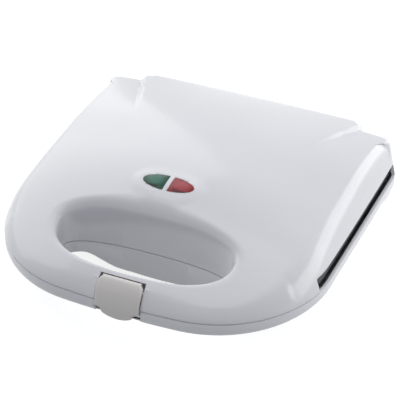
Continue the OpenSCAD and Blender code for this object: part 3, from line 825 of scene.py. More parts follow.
@dataclass
class Solid:
    """A mesh under construction, in millimetres of the layout, out of closed parts."""

    points: list[np.ndarray] = field(default_factory=list)
    faces: list[tuple[int, ...]] = field(default_factory=list)
    count: int = 0

    def add(self, points: np.ndarray, faces: Iterable[Sequence[int]]) -> None:
        """Adds points and the faces between them.

        Args:
            points: Places by 3.
            faces: Places in that list, round each face.
        """
        base = self.count
        self.points.append(np.asarray(points, float))
        self.faces += [tuple(int(i) + base for i in f) for f in faces]
        self.count += len(points)

    def loft(self, rings: np.ndarray, closed: bool = False, caps: bool = True) -> None:
        """Joins rings of points into a skin.

        Args:
            rings: Array of rings by points by 3.
            closed: Whether the last ring joins the first.
            caps: Whether the two end rings are filled.
        """
        n, m = rings.shape[:2]
        turns = n if closed else n - 1
        faces: list[Sequence[int]] = []
        for i in range(turns):
            a, b = i * m, ((i + 1) % n) * m
            faces += [(a + j, b + j, b + (j + 1) % m, a + (j + 1) % m) for j in range(m)]
        if caps and not closed:
            faces.append(tuple(range(m)))
            faces.append(tuple(range((n - 1) * m, n * m))[::-1])
        self.add(rings.reshape(-1, 3), faces)

    @staticmethod
    def along(rings: np.ndarray, origin: Point, axis: Point) -> np.ndarray:
        """Returns rings round z with z turned to an axis and moved to an origin."""
        turn = np.array(Vector(axis).to_track_quat("Z", "Y").to_matrix())
        return rings @ turn.T + np.array(origin)

    def turned(self, outline: Sequence[Point], origin: Point, axis: Point, steps: int = 40) -> None:
        """Turns an outline of (radius, height) pairs round an axis.

        Args:
            outline: Radii and heights along the axis; radius 0 at an end closes it.
            origin: Where height 0 lies.
            axis: The axis's direction.
            steps: Faces round.
        """
        angles = np.linspace(0, 2 * math.pi, steps, endpoint=False)
        rings = np.array([[(r * math.cos(a), r * math.sin(a), h) for a in angles] for r, h in outline])
        self.loft(self.along(rings, origin, axis))

    def tube(
        self, radii: Pair, origin: Point, axis: Point, length: float, edge: float = 0.3, steps: int = 48
    ) -> None:
        """Adds a ring with a bore and chamfered ends.

        Args:
            radii: The bore's radius and the outer radius.
            origin: Where it starts on its axis.
            axis: The axis's direction.
            length: Its length.
            edge: The chamfer's size, a third of the wall at most.
            steps: Faces round.
        """
        inner, outer = radii
        e = min(edge, (outer - inner) / 3)
        outline = [(inner, e), (inner + e, 0), (outer - e, 0), (outer, e), (outer, length - e),
                   (outer - e, length), (inner + e, length), (inner, length - e)]
        angles = np.linspace(0, 2 * math.pi, steps, endpoint=False)
        rings = np.array([[(r * math.cos(a), r * math.sin(a), h) for r, h in outline] for a in angles])
        self.loft(self.along(rings, origin, axis), closed=True)

    def bar(self, profile: Sequence[Point], x0: float, x1: float, edge: float = 0.25) -> None:
        """Adds a bar along x from a profile in y and z, with chamfered ends.

        Args:
            profile: The profile's corners.
            x0, x1: The bar's two ends.
            edge: The chamfer's size.
        """
        p = np.array(profile, float)
        middle = p.mean(0)
        reach = np.abs(p - middle).max()
        small = middle + (p - middle) * (1 - edge / max(reach, edge * 2))
        ends = ((x0, small), (x0 + edge, p), (x1 - edge, p), (x1, small))
        self.loft(np.array([np.column_stack([np.full(len(p), x), q]) for x, q in ends]))

    def mesh(self, name: str, crease: float = 32.0) -> Piece:
        """Makes the piece as an object with smooth faces and crisp edges.

        Args:
            name: The piece's name.
            crease: The angle in degrees past which an edge is sharp.

        Returns:
            The new object, in metres and in place.
        """
        data = bpy.data.meshes.new(name)
        data.from_pydata(in_frame(np.vstack(self.points)).tolist(), [], self.faces)
        work = bmesh.new()
        work.from_mesh(data)
        bmesh.ops.remove_doubles(work, verts=work.verts, dist=WELD)
        bmesh.ops.recalc_face_normals(work, faces=work.faces)
        work.to_mesh(data)
        work.free()
        soften(data, crease)
        return put(name, data)


def join(pieces: Sequence[Piece]) -> Piece:
    """Joins meshes into the first of them.

    Args:
        pieces: The objects to join.

    Returns:
        The first object, which holds them all.
    """
    with bpy.context.temp_override(
        active_object=pieces[0], selected_objects=list(pieces), selected_editable_objects=list(pieces)
    ):
        bpy.ops.object.join()
    return pieces[0]


def cut(piece: Piece, tool: Piece) -> None:
    """Takes the tool's space out of the piece and removes the tool.

    Args:
        piece: Keeps the rest.
        tool: The space.
    """
    change = piece.modifiers.new("cut", "BOOLEAN")
    change.operation = "DIFFERENCE"
    change.solver = "EXACT"
    change.object = tool
    fix(piece, change)
    bpy.data.objects.remove(tool)


# ---- rim and skins


@dataclass(frozen=True)
class Station:
    """A place on a shell's rim.

    Attributes:
        x, y: The place on the plan.
        nx, ny: The outward direction.
        inset: How far inward the shell's upper edge lies.
        rim_z: Height of the rim there, raised over the side slot.
    """

    x: float
    y: float
    nx: float
    ny: float
    inset: float = 0.0
    rim_z: float = SIZE.low

    @property
    def at(self) -> np.ndarray:
        """The place as an array."""
        return np.array([self.x, self.y])

    @property
    def out(self) -> np.ndarray:
        """The outward direction as an array."""
        return np.array([self.nx, self.ny])

    def mirrored(self) -> "Station":
        """Returns the same station on the left."""
        return Station(-self.x, self.y, -self.nx, self.ny, self.inset, self.rim_z)


@dataclass(frozen=True)
class Rim:
    """The outlines of the two shells' rims, front middle to rear middle and back.

    Attributes:
        slot_fillet: Radius at the upper ends of the lid's side slots.
        slot_marks: Distances inside the slot's ends at which its fillets get stations.
        side_band: How far from the side wall a station may lie to belong to the slot.
        pitch: Distance between stations on an arc.
        side_steps, rear_steps, hood_steps: Stations along the side, the rear and the hood's edge.
        ease_y, ease_run: Where the lid's edge goes over from the front's inset to the side's.
        ear_out, ear_round: How far the ears start beside the hood, and their inner corner's radius.
        end_way: The outward direction of the hood's end wall.
        hood_round: The hood's corner radius.
    """

    size: Sizes = SIZE
    slot_fillet: float = 1.3
    slot_marks: tuple[float, ...] = (0.0, 0.02, 0.12, 0.35, 0.7, 1.3)
    side_band: float = 20.0
    pitch: float = 2.2
    side_steps: int = 46
    rear_steps: int = 44
    hood_steps: int = 40
    ease_y: float = 20.0
    ease_run: float = 60.0
    ear_out: float = 2.0
    ear_round: float = 1.5
    end_way: Pair = (0.99, 0.14)
    hood_round: float = 3.0

    def arc(
        self, centre: Point, r: float, a0: float, a1: float, extra: Sequence[float] = ()
    ) -> list[Station]:
        """Returns stations along an arc.

        Args:
            centre, r: Its centre and radius.
            a0, a1: First and last angle in radians, from the front towards the right.
            extra: Further angles that get a station.

        Returns:
            The stations from the first angle to the last.
        """
        cx, cy = centre
        n = max(3, round(abs(a1 - a0) * r / self.pitch))
        turns = [(math.sin(a), -math.cos(a)) for a in sorted([*np.linspace(a0, a1, n + 1), *extra])]
        return [Station(cx + r * nx, cy + r * ny, nx, ny) for nx, ny in turns]

    def plain_half(self) -> list[Station]:
        """Returns the right-hand outline from the front middle to the end of the rear corner."""
        s = self.size
        cx, cy = s.corner
        rear_x, rear_y = s.hw - s.rear_r, s.rim_d - s.rear_r
        bow = math.atan2(cx, s.front_r - cy)
        starts = [math.acos((cy - s.slot_y - m) / s.corner_r) for m in self.slot_marks]
        ends = [math.pi / 2 + math.asin((s.slot_end - m - rear_y) / s.rear_r) for m in self.slot_marks]
        front = self.arc((0, s.front_r), s.front_r, 0, bow)
        corner = self.arc((cx, cy), s.corner_r, bow, math.pi / 2, starts)
        side = [Station(s.hw, y, 1, 0) for y in np.linspace(cy, rear_y, self.side_steps)]
        rear = self.arc((rear_x, rear_y), s.rear_r, math.pi / 2, math.pi, ends)
        return front + corner[1:] + side[1:] + rear[1:]

    def base(self) -> list[Station]:
        """Returns the whole outline of the base."""
        s = self.size
        across = np.linspace(s.hw - s.rear_r, 0, self.rear_steps)[1:]
        return self.whole(self.plain_half() + [Station(x, s.rim_d, 0, 1) for x in across])

    def hood(self) -> list[Station]:
        """Returns the ears, the hood's end wall, its corner and its rear edge."""
        s, inner, outer = self.size, self.ear_round, self.hood_round
        ear, corner = s.hood_hw + self.ear_out, s.hood_hw - outer
        across = np.linspace(s.hw - s.rear_r, ear + inner, 8)[1:]
        marks = [Station(x, s.rim_d, 0, 1, s.rear_inset) for x in across]
        for a in np.radians([30, 60]):
            nx, ny = math.sin(a), math.cos(a)
            x, y = ear + inner - inner * nx, s.rim_d + inner - inner * ny
            marks.append(Station(x, y, nx, ny, s.rear_inset))
        for y in np.linspace(s.rim_d + inner, s.hood_y - outer, 7):
            t = (y - s.rim_d) / s.hood_over
            inset = mix(s.rear_inset, s.hood_inset, smooth(t * 2))
            marks.append(Station(mix(ear, s.hood_hw, t), y, *self.end_way, inset))
        for a in np.radians([15, 35, 55, 75, 90]):
            nx, ny = math.cos(a), math.sin(a)
            marks.append(Station(corner + outer * nx, s.hood_y - outer + outer * ny, nx, ny, s.hood_inset))
        rear = np.linspace(corner, 0, self.hood_steps)[1:]
        return marks + [Station(x, s.hood_y, 0, 1, s.hood_inset) for x in rear]

    def lid(self) -> list[Station]:
        """Returns the whole outline of the lid, with its rim raised over the slots."""
        s = self.size
        half: list[Station] = []
        for p in self.plain_half():
            if p.y > s.open_y:
                inset = mix(s.side_inset, s.rear_inset, smooth(p.ny))
            else:
                inset = mix(s.front_inset, s.side_inset, smooth((p.y - self.ease_y) / self.ease_run))
            half.append(Station(p.x, p.y, p.nx, p.ny, float(inset), self.rim_height(p)))
        return self.whole(half + self.hood())

    def rim_height(self, p: Station) -> float:
        """Returns the lid's rim height at a station, with the slot's rounded ends.

        Args:
            p: The station.

        Returns:
            The height in millimetres.
        """
        s = self.size
        inward = min(p.y - s.slot_y, s.slot_end - p.y)
        if inward < 0.001 or p.x < s.hw - self.side_band:
            return s.low
        lack = max(self.slot_fillet - inward, 0)
        return s.slot_h - self.slot_fillet + math.sqrt(self.slot_fillet**2 - lack**2)

    @staticmethod
    def whole(half: list[Station]) -> list[Station]:
        """Returns the half outline with its mirror image, as one ring."""
        return half + [p.mirrored() for p in half[-2:0:-1]]


def ring_wall(stations: Sequence[Station], section: Callable[[Station, float], np.ndarray]) -> Solid:
    """Returns a shell's wall: at each station its outer section and back along its inner one.

    Args:
        stations: The rim's stations.
        section: Gives a section's points at a station for a skin.

    Returns:
        The whole wall.
    """
    wall = SIZE.wall
    solid = Solid()
    solid.loft(np.array([np.vstack([section(p, 0), section(p, wall)[::-1]]) for p in stations]), closed=True)
    return solid


@dataclass(frozen=True)
class LidSkin:
    """The lid's wall as a ring of sections between the handle opening and the rim.

    Attributes:
        lip_turn, edge_turn: Run of the roundings at the opening and at the lid's upper edge.
        turn_share: The most that either may take of the top's width.
        lip_sink, inner_sink: How far down the opening's wall its rounding reaches, outside and inside.
        edge_tuck: How far inward the inner face's edge lies, in skins.
        side_tuck: How far inward the side wall's foot lies.
        bulge_in, bulge_h: Share of the edge's inset and height at the side wall's swelling.
        side_start: Share of the way to the swelling at which the side wall starts.
        foot_h: Height of the side wall's foot over the rim.
        ear_over: How far behind the rim the stations of the hood start.
        corner_ny: The least outward part along y of a station of the hood's corner.
        rim_round: The rim's edge radius.
        top_steps, inner_steps: Points over the top, outside and inside.
    """

    size: Sizes = SIZE
    lip_turn: float = 8.5
    edge_turn: float = 5.0
    turn_share: float = 0.42
    lip_sink: float = 0.3
    inner_sink: float = 0.14
    edge_tuck: float = 0.6
    side_tuck: float = 0.3
    bulge_in: float = 0.3
    bulge_h: float = 0.62
    side_start: float = 0.35
    foot_h: float = 2.0
    ear_over: float = 1.2
    corner_ny: float = 0.2
    rim_round: float = 0.45
    top_steps: int = 70
    inner_steps: int = 16

    def on_top(self, at: np.ndarray, drop: float) -> np.ndarray:
        """Returns the point of the lid's top at a place, lowered by drop."""
        at = np.atleast_2d(at)
        z = FORM.top(at[:, 0], at[:, 1]) - drop
        return np.column_stack([at, z]).squeeze()

    def edge_at(self, p: Station, skin: float) -> np.ndarray:
        """Returns the place of the lid's upper edge, kept inside the hood's corner.

        Args:
            p: The station on the rim.
            skin: 0 on the outside, the wall's thickness on the inside.

        Returns:
            The place on the plan.
        """
        s = self.size
        at = p.at - p.out * (p.inset + skin * self.edge_tuck)
        if p.y > s.rim_d + self.ear_over:
            corner = s.hood_inset + skin * self.edge_tuck
            at[1] = min(at[1], s.hood_y - corner)
            if p.ny > self.corner_ny:
                at[0] = np.clip(at[0], corner - s.hood_hw, s.hood_hw - corner)
        return at

    def levels(self, path: np.ndarray, floor: float, up: int, down: int) -> np.ndarray:
        """Samples a falling path at levels over and under the slot's height.

        Args:
            path: The path's points.
            floor: The lowest level.
            up, down: How many levels lie over and under the slot's height.

        Returns:
            A point for each level.
        """
        s = self.size
        split = min(s.slot_h, path[0, 2] - 1)
        over, under = np.linspace(path[0, 2], split, up + 1)[1:], np.linspace(split, s.low, down + 1)[1:]
        z = np.maximum(np.concatenate([over, under]), floor)
        x_path, y_path, z_path = path[::-1].T
        return np.column_stack([np.interp(z, z_path, x_path), np.interp(z, z_path, y_path), z])

    def section(self, p: Station, skin: float) -> np.ndarray:
        """Returns one section from the opening's lower edge over the top to the rim.

        Args:
            p: The station on the rim.
            skin: 0 on the outside, the wall's thickness on the inside.

        Returns:
            The section's points.
        """
        s = self.size
        fine = skin == 0
        q = (p.x, p.y)
        edge_xy = self.edge_at(p, skin)
        edge = self.on_top(edge_xy, skin)
        tuck = self.side_tuck + skin
        foot = np.array([*(p.at - p.out * tuck), s.low + self.foot_h])
        rim = np.array([*(p.at - p.out * skin), s.low])
        bulge = np.array([*(p.at - p.out * (tuck + p.inset * self.bulge_in)), edge[2] * self.bulge_h])
        lip = FORM.opening_at(q, s.open_flare, skin)
        run = edge_xy - lip
        gap = float(np.hypot(*run))
        most = gap * self.turn_share
        a_in = self.on_top(lip + run * min(self.lip_turn, most) / gap, skin)
        a_out = self.on_top(edge_xy - run * min(self.edge_turn, most) / gap, skin)
        mouth = self.on_top(lip, skin)
        throat = np.array([*FORM.opening_at(q, 0, skin), s.low])
        sink = mix(mouth, throat, self.lip_sink if fine else self.inner_sink)
        wall_top = mix(edge, bulge, self.side_start)
        share = np.linspace(0, 1, self.top_steps if fine else self.inner_steps)[1:-1, None]
        path = np.vstack([bezier(wall_top, bulge, foot, 24), rim])
        parts = [
            bezier(sink, mouth, a_in, 12 if fine else 4),
            self.on_top(mix(a_in[:2], a_out[:2], share), skin),
            bezier(a_out, edge, wall_top, 10 if fine else 3),
        ]
        if not fine:
            return np.vstack([throat, *parts, self.levels(path, p.rim_z, 5, 3)])
        r = self.rim_round
        inner = np.array([*FORM.opening_at(q, 0, r), s.low])
        low_wall = np.array([*throat[:2], s.low + r])
        tail = self.levels(path, p.rim_z + r, 9, 6)
        last = tail[-1]
        turned = [last - [p.nx * r * k, p.ny * r * k, r * d] for k, d in ((0.3, 0.7), (1, 1))]
        return np.vstack([inner, low_wall, mix(low_wall, sink, 0.5), *parts, tail, *turned])

    def solid(self) -> Solid:
        """Returns the whole wall."""
        return ring_wall(Rim().lid(), self.section)


@dataclass(frozen=True)
class BaseSkin:
    """The base's wall as a ring of sections between the handle opening and the rim.

    Attributes:
        side_h: Height of the upright side under the parting plane.
        side_least: The least share of the sizes for the side's rounding where the wall is narrow.
        full_gap: Width between opening and rim from which all sizes are whole.
        throat_r: Radius of the opening's lower edge.
        rim_round, rim_part: The rim's edge radius, and its first step's share.
    """

    size: Sizes = SIZE
    side_h: float = 5.0
    side_least: float = 0.5
    full_gap: float = 56.0
    throat_r: float = 2.5
    rim_round: float = 0.45
    rim_part: float = 0.3

    def arch(self, u: np.ndarray) -> np.ndarray:
        """Returns a quarter circle's rise at u."""
        v = np.clip(u, 0, 1)
        return np.sqrt(1 - (1 - v) ** 2)

    def under(self, p: Station, at: np.ndarray, d: np.ndarray, share: float) -> np.ndarray:
        """Returns the height of the underside at places along a section.

        Args:
            p: The section's station.
            at: The places.
            d: Their distances in from the rim.
            share: Share of the sizes where the wall is narrow.

        Returns:
            Heights in millimetres.
        """
        s = self.size
        rim_band = (s.band_h - self.side_h) * self.arch(d / (self.side_h * max(share, self.side_least)))
        flank = mix(smooth(d / share / s.flank_in), self.arch(d / share / s.rear_in), smooth(p.ny))
        return -(self.side_h + rim_band + FORM.deepen(at[..., 0], at[..., 1]) * flank)

    def section(self, p: Station, skin: float) -> np.ndarray:
        """Returns one section from the opening's upper edge under the base to the rim.

        Args:
            p: The station on the rim.
            skin: 0 on the outside, the wall's thickness on the inside.

        Returns:
            The section's points.
        """
        s, bend = self.size, self.throat_r
        fine = skin == 0
        q = (p.x, p.y)
        edge = p.at - p.out * skin
        throat = FORM.opening_at(q, 0, skin)
        run = edge - throat
        gap = float(np.hypot(*run))
        share = min(1.0, gap / self.full_gap)
        way = run / gap
        turned = throat + way * bend * share
        turn_z = float(self.under(p, turned, gap - bend * share, share)) + skin
        above, below = np.array([*throat, turn_z + bend]), np.array([*throat, turn_z])
        corner = bezier(above, below, np.array([*turned, turn_z]), 6 if fine else 1)
        near = s.flank_in * share
        inner = np.linspace(gap - bend * share, near, 26 if fine else 6)[1:-1]
        rim_side = near * np.linspace(1, 0, 34 if fine else 10) ** 2
        d = np.concatenate([inner, rim_side])
        at = edge - way * d[:, None]
        face = np.column_stack([at, self.under(p, at, d, share) + skin])
        if not fine:
            return np.vstack([[*throat, -s.low], corner, face, [*edge, -s.low]])
        r, part = self.rim_round, self.rim_round * self.rim_part
        top = [[*FORM.opening_at(q, 0, r), -s.low], [*throat, -s.low - r]]
        rim = [[*edge, -s.low - r], [*(edge - p.out * part), -s.low - part], [*(edge - p.out * r), -s.low]]
        return np.vstack([top, corner, face, rim])

    def solid(self) -> Solid:
        """Returns the whole wall."""
        return ring_wall(Rim().base(), self.section)


# ---- shells


def circle(cx: float, cy: float, r: float, a0: float = 0.0, a1: float = 360.0, n: int = 40) -> list[Point]:
    """Returns points on a circle.

    Args:
        cx, cy, r: Its centre and radius.
        a0, a1: The first and last angle in degrees.
        n: How many points.

    Returns:
        The points, without the last angle's in a full turn.
    """
    full = abs(a1 - a0) >= 360
    angles = np.radians(np.linspace(a0, a1, n, endpoint=not full))
    return [(cx + r * math.cos(a), cy + r * math.sin(a)) for a in angles]


def prism(outline: Sequence[Point], z0: float, z1: float) -> Piece:
    """Returns an upright prism to cut with, from an outline on the plan."""
    solid = Solid()
    solid.loft(np.array([upright(outline, z) for z in (z0, z1)]))
    return solid.mesh("cut")


def box(x0: float, x1: float, y0: float, y1: float, z0: float, z1: float) -> Piece:
    """Returns a box to cut with."""
    return prism([(x0, y0), (x1, y0), (x1, y1), (x0, y1)], z0, z1)


@dataclass(frozen=True)
class Handle:
    """The hollow handle bar's ribs and the latch's recess.

    Attributes:
        rib_x, rib_t: Distances of the ribs from the middle, and their thickness.
        rib_y: How far behind the bar's front a lid rib's height is taken.
        pivot, recess_r: The latch's pin in y and z, and the radius of the space round it.
    """

    size: Sizes = SIZE
    rib_x: tuple[float, ...] = (27, 39, 51)
    rib_t: float = 1.6
    rib_y: float = 11.0
    pivot: Point = (6.9, 9.6)
    recess_r: float = 6.55

    def front(self, x: float) -> float:
        """Returns where the bar's front wall lies at x."""
        return self.size.front_r - math.sqrt(self.size.front_r**2 - x * x)

    def back(self, x: float) -> float:
        """Returns where the opening's wall lies at x."""
        s, n = self.size, FORM.open_front_power
        return s.open_y - s.open_front * (1 - (x / s.open_hw) ** n) ** (1 / n)

    def lid_rib(self, x: float) -> list[Point]:
        """Returns a lid rib's profile at x."""
        w, y0, y1 = self.size.wall, self.front(x), self.back(x)
        top = FORM.height(x, y0 + self.rib_y) - w * 1.9
        return [(y0 + w * 0.6, 3), (y0 + w, top - 4), (y0 + 6, top), (y1 - w * 0.9, top), (y1 - w * 0.6, 3)]

    def base_rib(self, x: float) -> list[Point]:
        """Returns a base rib's profile at x."""
        w, y0, y1 = self.size.wall, self.front(x), self.back(x)
        foot = 0.7 * w - self.size.band_h
        return [(y0 + w * 0.6, -2), (y1 - w * 0.6, -2), (y1 - w * 1.2, foot), (y0 + w * 1.2, foot)]

    def recess(self) -> list[Point]:
        """Returns the profile of the space round the latch: open in front, an arc behind the pivot."""
        y, z = self.pivot
        arc = circle(y, z, self.recess_r, -90, 90, 40)
        return [(-5, -1), (y, -1), *arc, (y, 40), (-5, 40)]

    def add_ribs(self, solid: Solid, profile: Callable[[float], list[Point]]) -> None:
        """Adds the ribs of one shell on both sides."""
        for x in self.rib_x:
            for side in (-1, 1):
                solid.bar(profile(x), side * x - self.rib_t / 2, side * x + self.rib_t / 2, 0.2)


@dataclass(frozen=True)
class Shells:
    """What both shells share: places of screws, feet and hinge.

    Attributes:
        plate_screws, feet: Their places on the right.
        boss, small_boss: Bore and outer radius of the bosses for the plates and for what hangs in the base.
        knuckles, knuckle_gap: Where the hinge's knuckles meet, and the gap between them.
        pin_r: Radius of their bore.
    """

    size: Sizes = SIZE
    handle: Handle = Handle()
    plate_screws: tuple[Point, ...] = ((79, 70), (94, 212))
    feet: tuple[Point, ...] = ((84, 110), (84, 190))
    boss: Pair = (1.5, 4.0)
    small_boss: Pair = (1.2, 3.0)
    knuckles: tuple[float, ...] = (56, 64.4, 74, 82.2)
    knuckle_gap: float = 0.4
    pin_r: float = 2.0

    def knuckle(self, solid: Solid, arm: list[Point], x0: float, x1: float) -> None:
        """Adds a hinge knuckle with its arm, on both sides.

        Args:
            solid: Takes them.
            arm: The arm's profile in y and z.
            x0, x1: The knuckle's ends on the right.
        """
        s = self.size
        for side in (-1, 1):
            start = min(side * x0, side * x1)
            solid.tube((self.pin_r, s.knuckle_r), (start, s.axis_y, s.axis_z), (1, 0, 0), x1 - x0, 0.4)
            solid.bar(arm, start, start + x1 - x0, 0.3)


@dataclass(frozen=True)
class LidShell:
    """The lid's white housing, with its hood, light pod, handle half and side slots.

    Attributes:
        shared: What it shares with the base.
        lens_grow, lens_z: Clearance round the lights, and the heights between which their holes are cut.
        boss_z: Height of the screw bosses' lower ends.
        cheek, cheek_t: Profile in y and z of the walls beside the latch, and half their thickness.
        roof_in: How deep the knuckle's arm reaches into the hood, in steps.
    """

    shared: Shells = Shells()
    lens_grow: float = 0.15
    lens_z: Pair = (35, 60)
    boss_z: float = 8.6
    cheek: tuple[Point, ...] = (
        (1.2, SIZE.low), (1.8, 4), (4.3, 9), (7.6, 13), (12.4, 13.4), (13.2, SIZE.low),
    )
    cheek_t: float = 1.7
    roof_in: tuple[float, ...] = (13, 8, 3)

    def arm(self) -> list[Point]:
        """Returns the profile of the arm that carries the lid's knuckle."""
        s = self.shared.size
        y, z = s.axis_y, s.axis_z
        x = (self.shared.knuckles[1] + self.shared.knuckles[2]) / 2
        roof = [(y - v, FORM.height(x, y - v) - s.wall / 2 - 0.6) for v in self.roof_in]
        ring = circle(y, z, s.knuckle_r - 0.6, 25, 165, 12)
        return ring + roof + [(y + 1, 22)]

    def build(self) -> Piece:
        """Returns the finished shell."""
        s, shared = self.shared.size, self.shared
        shell = LidSkin().solid().mesh("lid_housing")
        space = Solid()
        space.bar(shared.handle.recess(), -s.recess_hw, s.recess_hw, 0.001)
        cut(shell, space.mesh("cut"))
        for side in (-1, 1):
            cut(shell, prism(Lights().plan(side, self.lens_grow), *self.lens_z))
        parts = Solid()
        shared.handle.add_ribs(parts, shared.handle.lid_rib)
        for side in (-1, 1):
            x = side * (s.recess_hw + self.cheek_t)
            parts.bar(self.cheek, x - self.cheek_t, x + self.cheek_t)
            for px, py in shared.plate_screws:
                top = FORM.height(px, py) - s.wall * 0.7
                parts.tube(shared.boss, (side * px, py, self.boss_z), (0, 0, 1), top - self.boss_z)
        shared.knuckle(parts, self.arm(), shared.knuckles[1], shared.knuckles[2] - shared.knuckle_gap)
        return join([shell, parts.mesh("lid_inside")])


@dataclass(frozen=True)
class BaseShell:
    """The base's white tub, with its band, handle half and hinge arms.

    Attributes:
        shared: What it shares with the lid.
        recess_y: How deep the latch's recess is.
        lead_x, lead_z: The slot for the leads in the rear wall, across and in height.
        inlet, inlet_r: The cord inlet's x and z in the rear wall, and its radius.
        clamp, clamp_z: The cord clamp's bosses, beside the inlet and in y, and their height.
        block, block_z: The terminal block's bosses in x and y, and their height.
        rest_z: Height of the bosses under the plate.
    """

    shared: Shells = Shells()
    recess_y: float = 2.9
    lead_x: Pair = (-26.2, -21.8)
    lead_z: Pair = (-4, 16)
    inlet: Pair = (45, -14)
    inlet_r: float = 5.2
    clamp: Point = (9, 211)
    clamp_z: float = -17.6
    block: Point = (12, 211.5)
    block_z: float = -22.0
    rest_z: float = 0.15

    def arm(self) -> list[Point]:
        """Returns the profile of the arms that carry the base's knuckles."""
        s = self.shared.size
        y, z, r = s.axis_y, s.axis_z, s.knuckle_r
        ring = circle(y, z, r - 0.6, 225, 127, 10)
        return [(s.rim_d - 2, -6), (s.rim_d - 0.2, -6), (s.rim_d, -2.6), (y - r * 0.7, z - r * 0.72), *ring,
                (y - r * 0.6, z + r * 0.8), (s.rim_d - 0.6, z + 2), (s.rim_d - 2.2, 0.6)]

    def catch(self) -> list[Point]:
        """Returns the profile of the bar that the latch's hook goes under."""
        y, low = self.recess_y, -self.shared.size.low
        return [(y, low), (y, -3.2), (1.2, -3.4), (1.2, -5.6), (y, -5.6), (y, -8.4), (6, -8.6), (6, low)]

    def build(self) -> Piece:
        """Returns the finished shell."""
        s, shared = self.shared.size, self.shared
        shell = BaseSkin().solid().mesh("base_housing")
        cut(shell, box(-s.recess_hw, s.recess_hw, -5, self.recess_y, -20, 10))
        cut(shell, box(*self.lead_x, s.rim_d - 5, s.rim_d + 5, *self.lead_z))
        bore = Solid()
        x, z = self.inlet
        bore.turned([(self.inlet_r, 0), (self.inlet_r, 20)], (x, s.rim_d - 8, z), (0, 1, 0), 64)
        cut(shell, bore.mesh("cut"))
        parts = Solid()
        shared.handle.add_ribs(parts, shared.handle.base_rib)
        parts.bar(self.catch(), -s.recess_hw - 3, s.recess_hw + 3)
        floor = -s.tub_h + s.wall / 2
        for side in (-1, 1):
            for (px, py), foot in zip(shared.plate_screws, (-s.band_h - 0.4, floor)):
                parts.tube(shared.boss, (side * px, py, foot), (0, 0, 1), self.rest_z - foot)
            rows = ((x + side * self.clamp[0], self.clamp[1], self.clamp_z),
                    (side * self.block[0], self.block[1], self.block_z))
            for px, py, top in rows:
                parts.tube(shared.small_boss, (px, py, floor), (0, 0, 1), top - floor)
        shared.knuckle(parts, self.arm(), shared.knuckles[0], shared.knuckles[1] - shared.knuckle_gap)
        shared.knuckle(parts, self.arm(), shared.knuckles[2], shared.knuckles[3])
        return join([shell, parts.mesh("base_inside")])


# ---- cooking plates


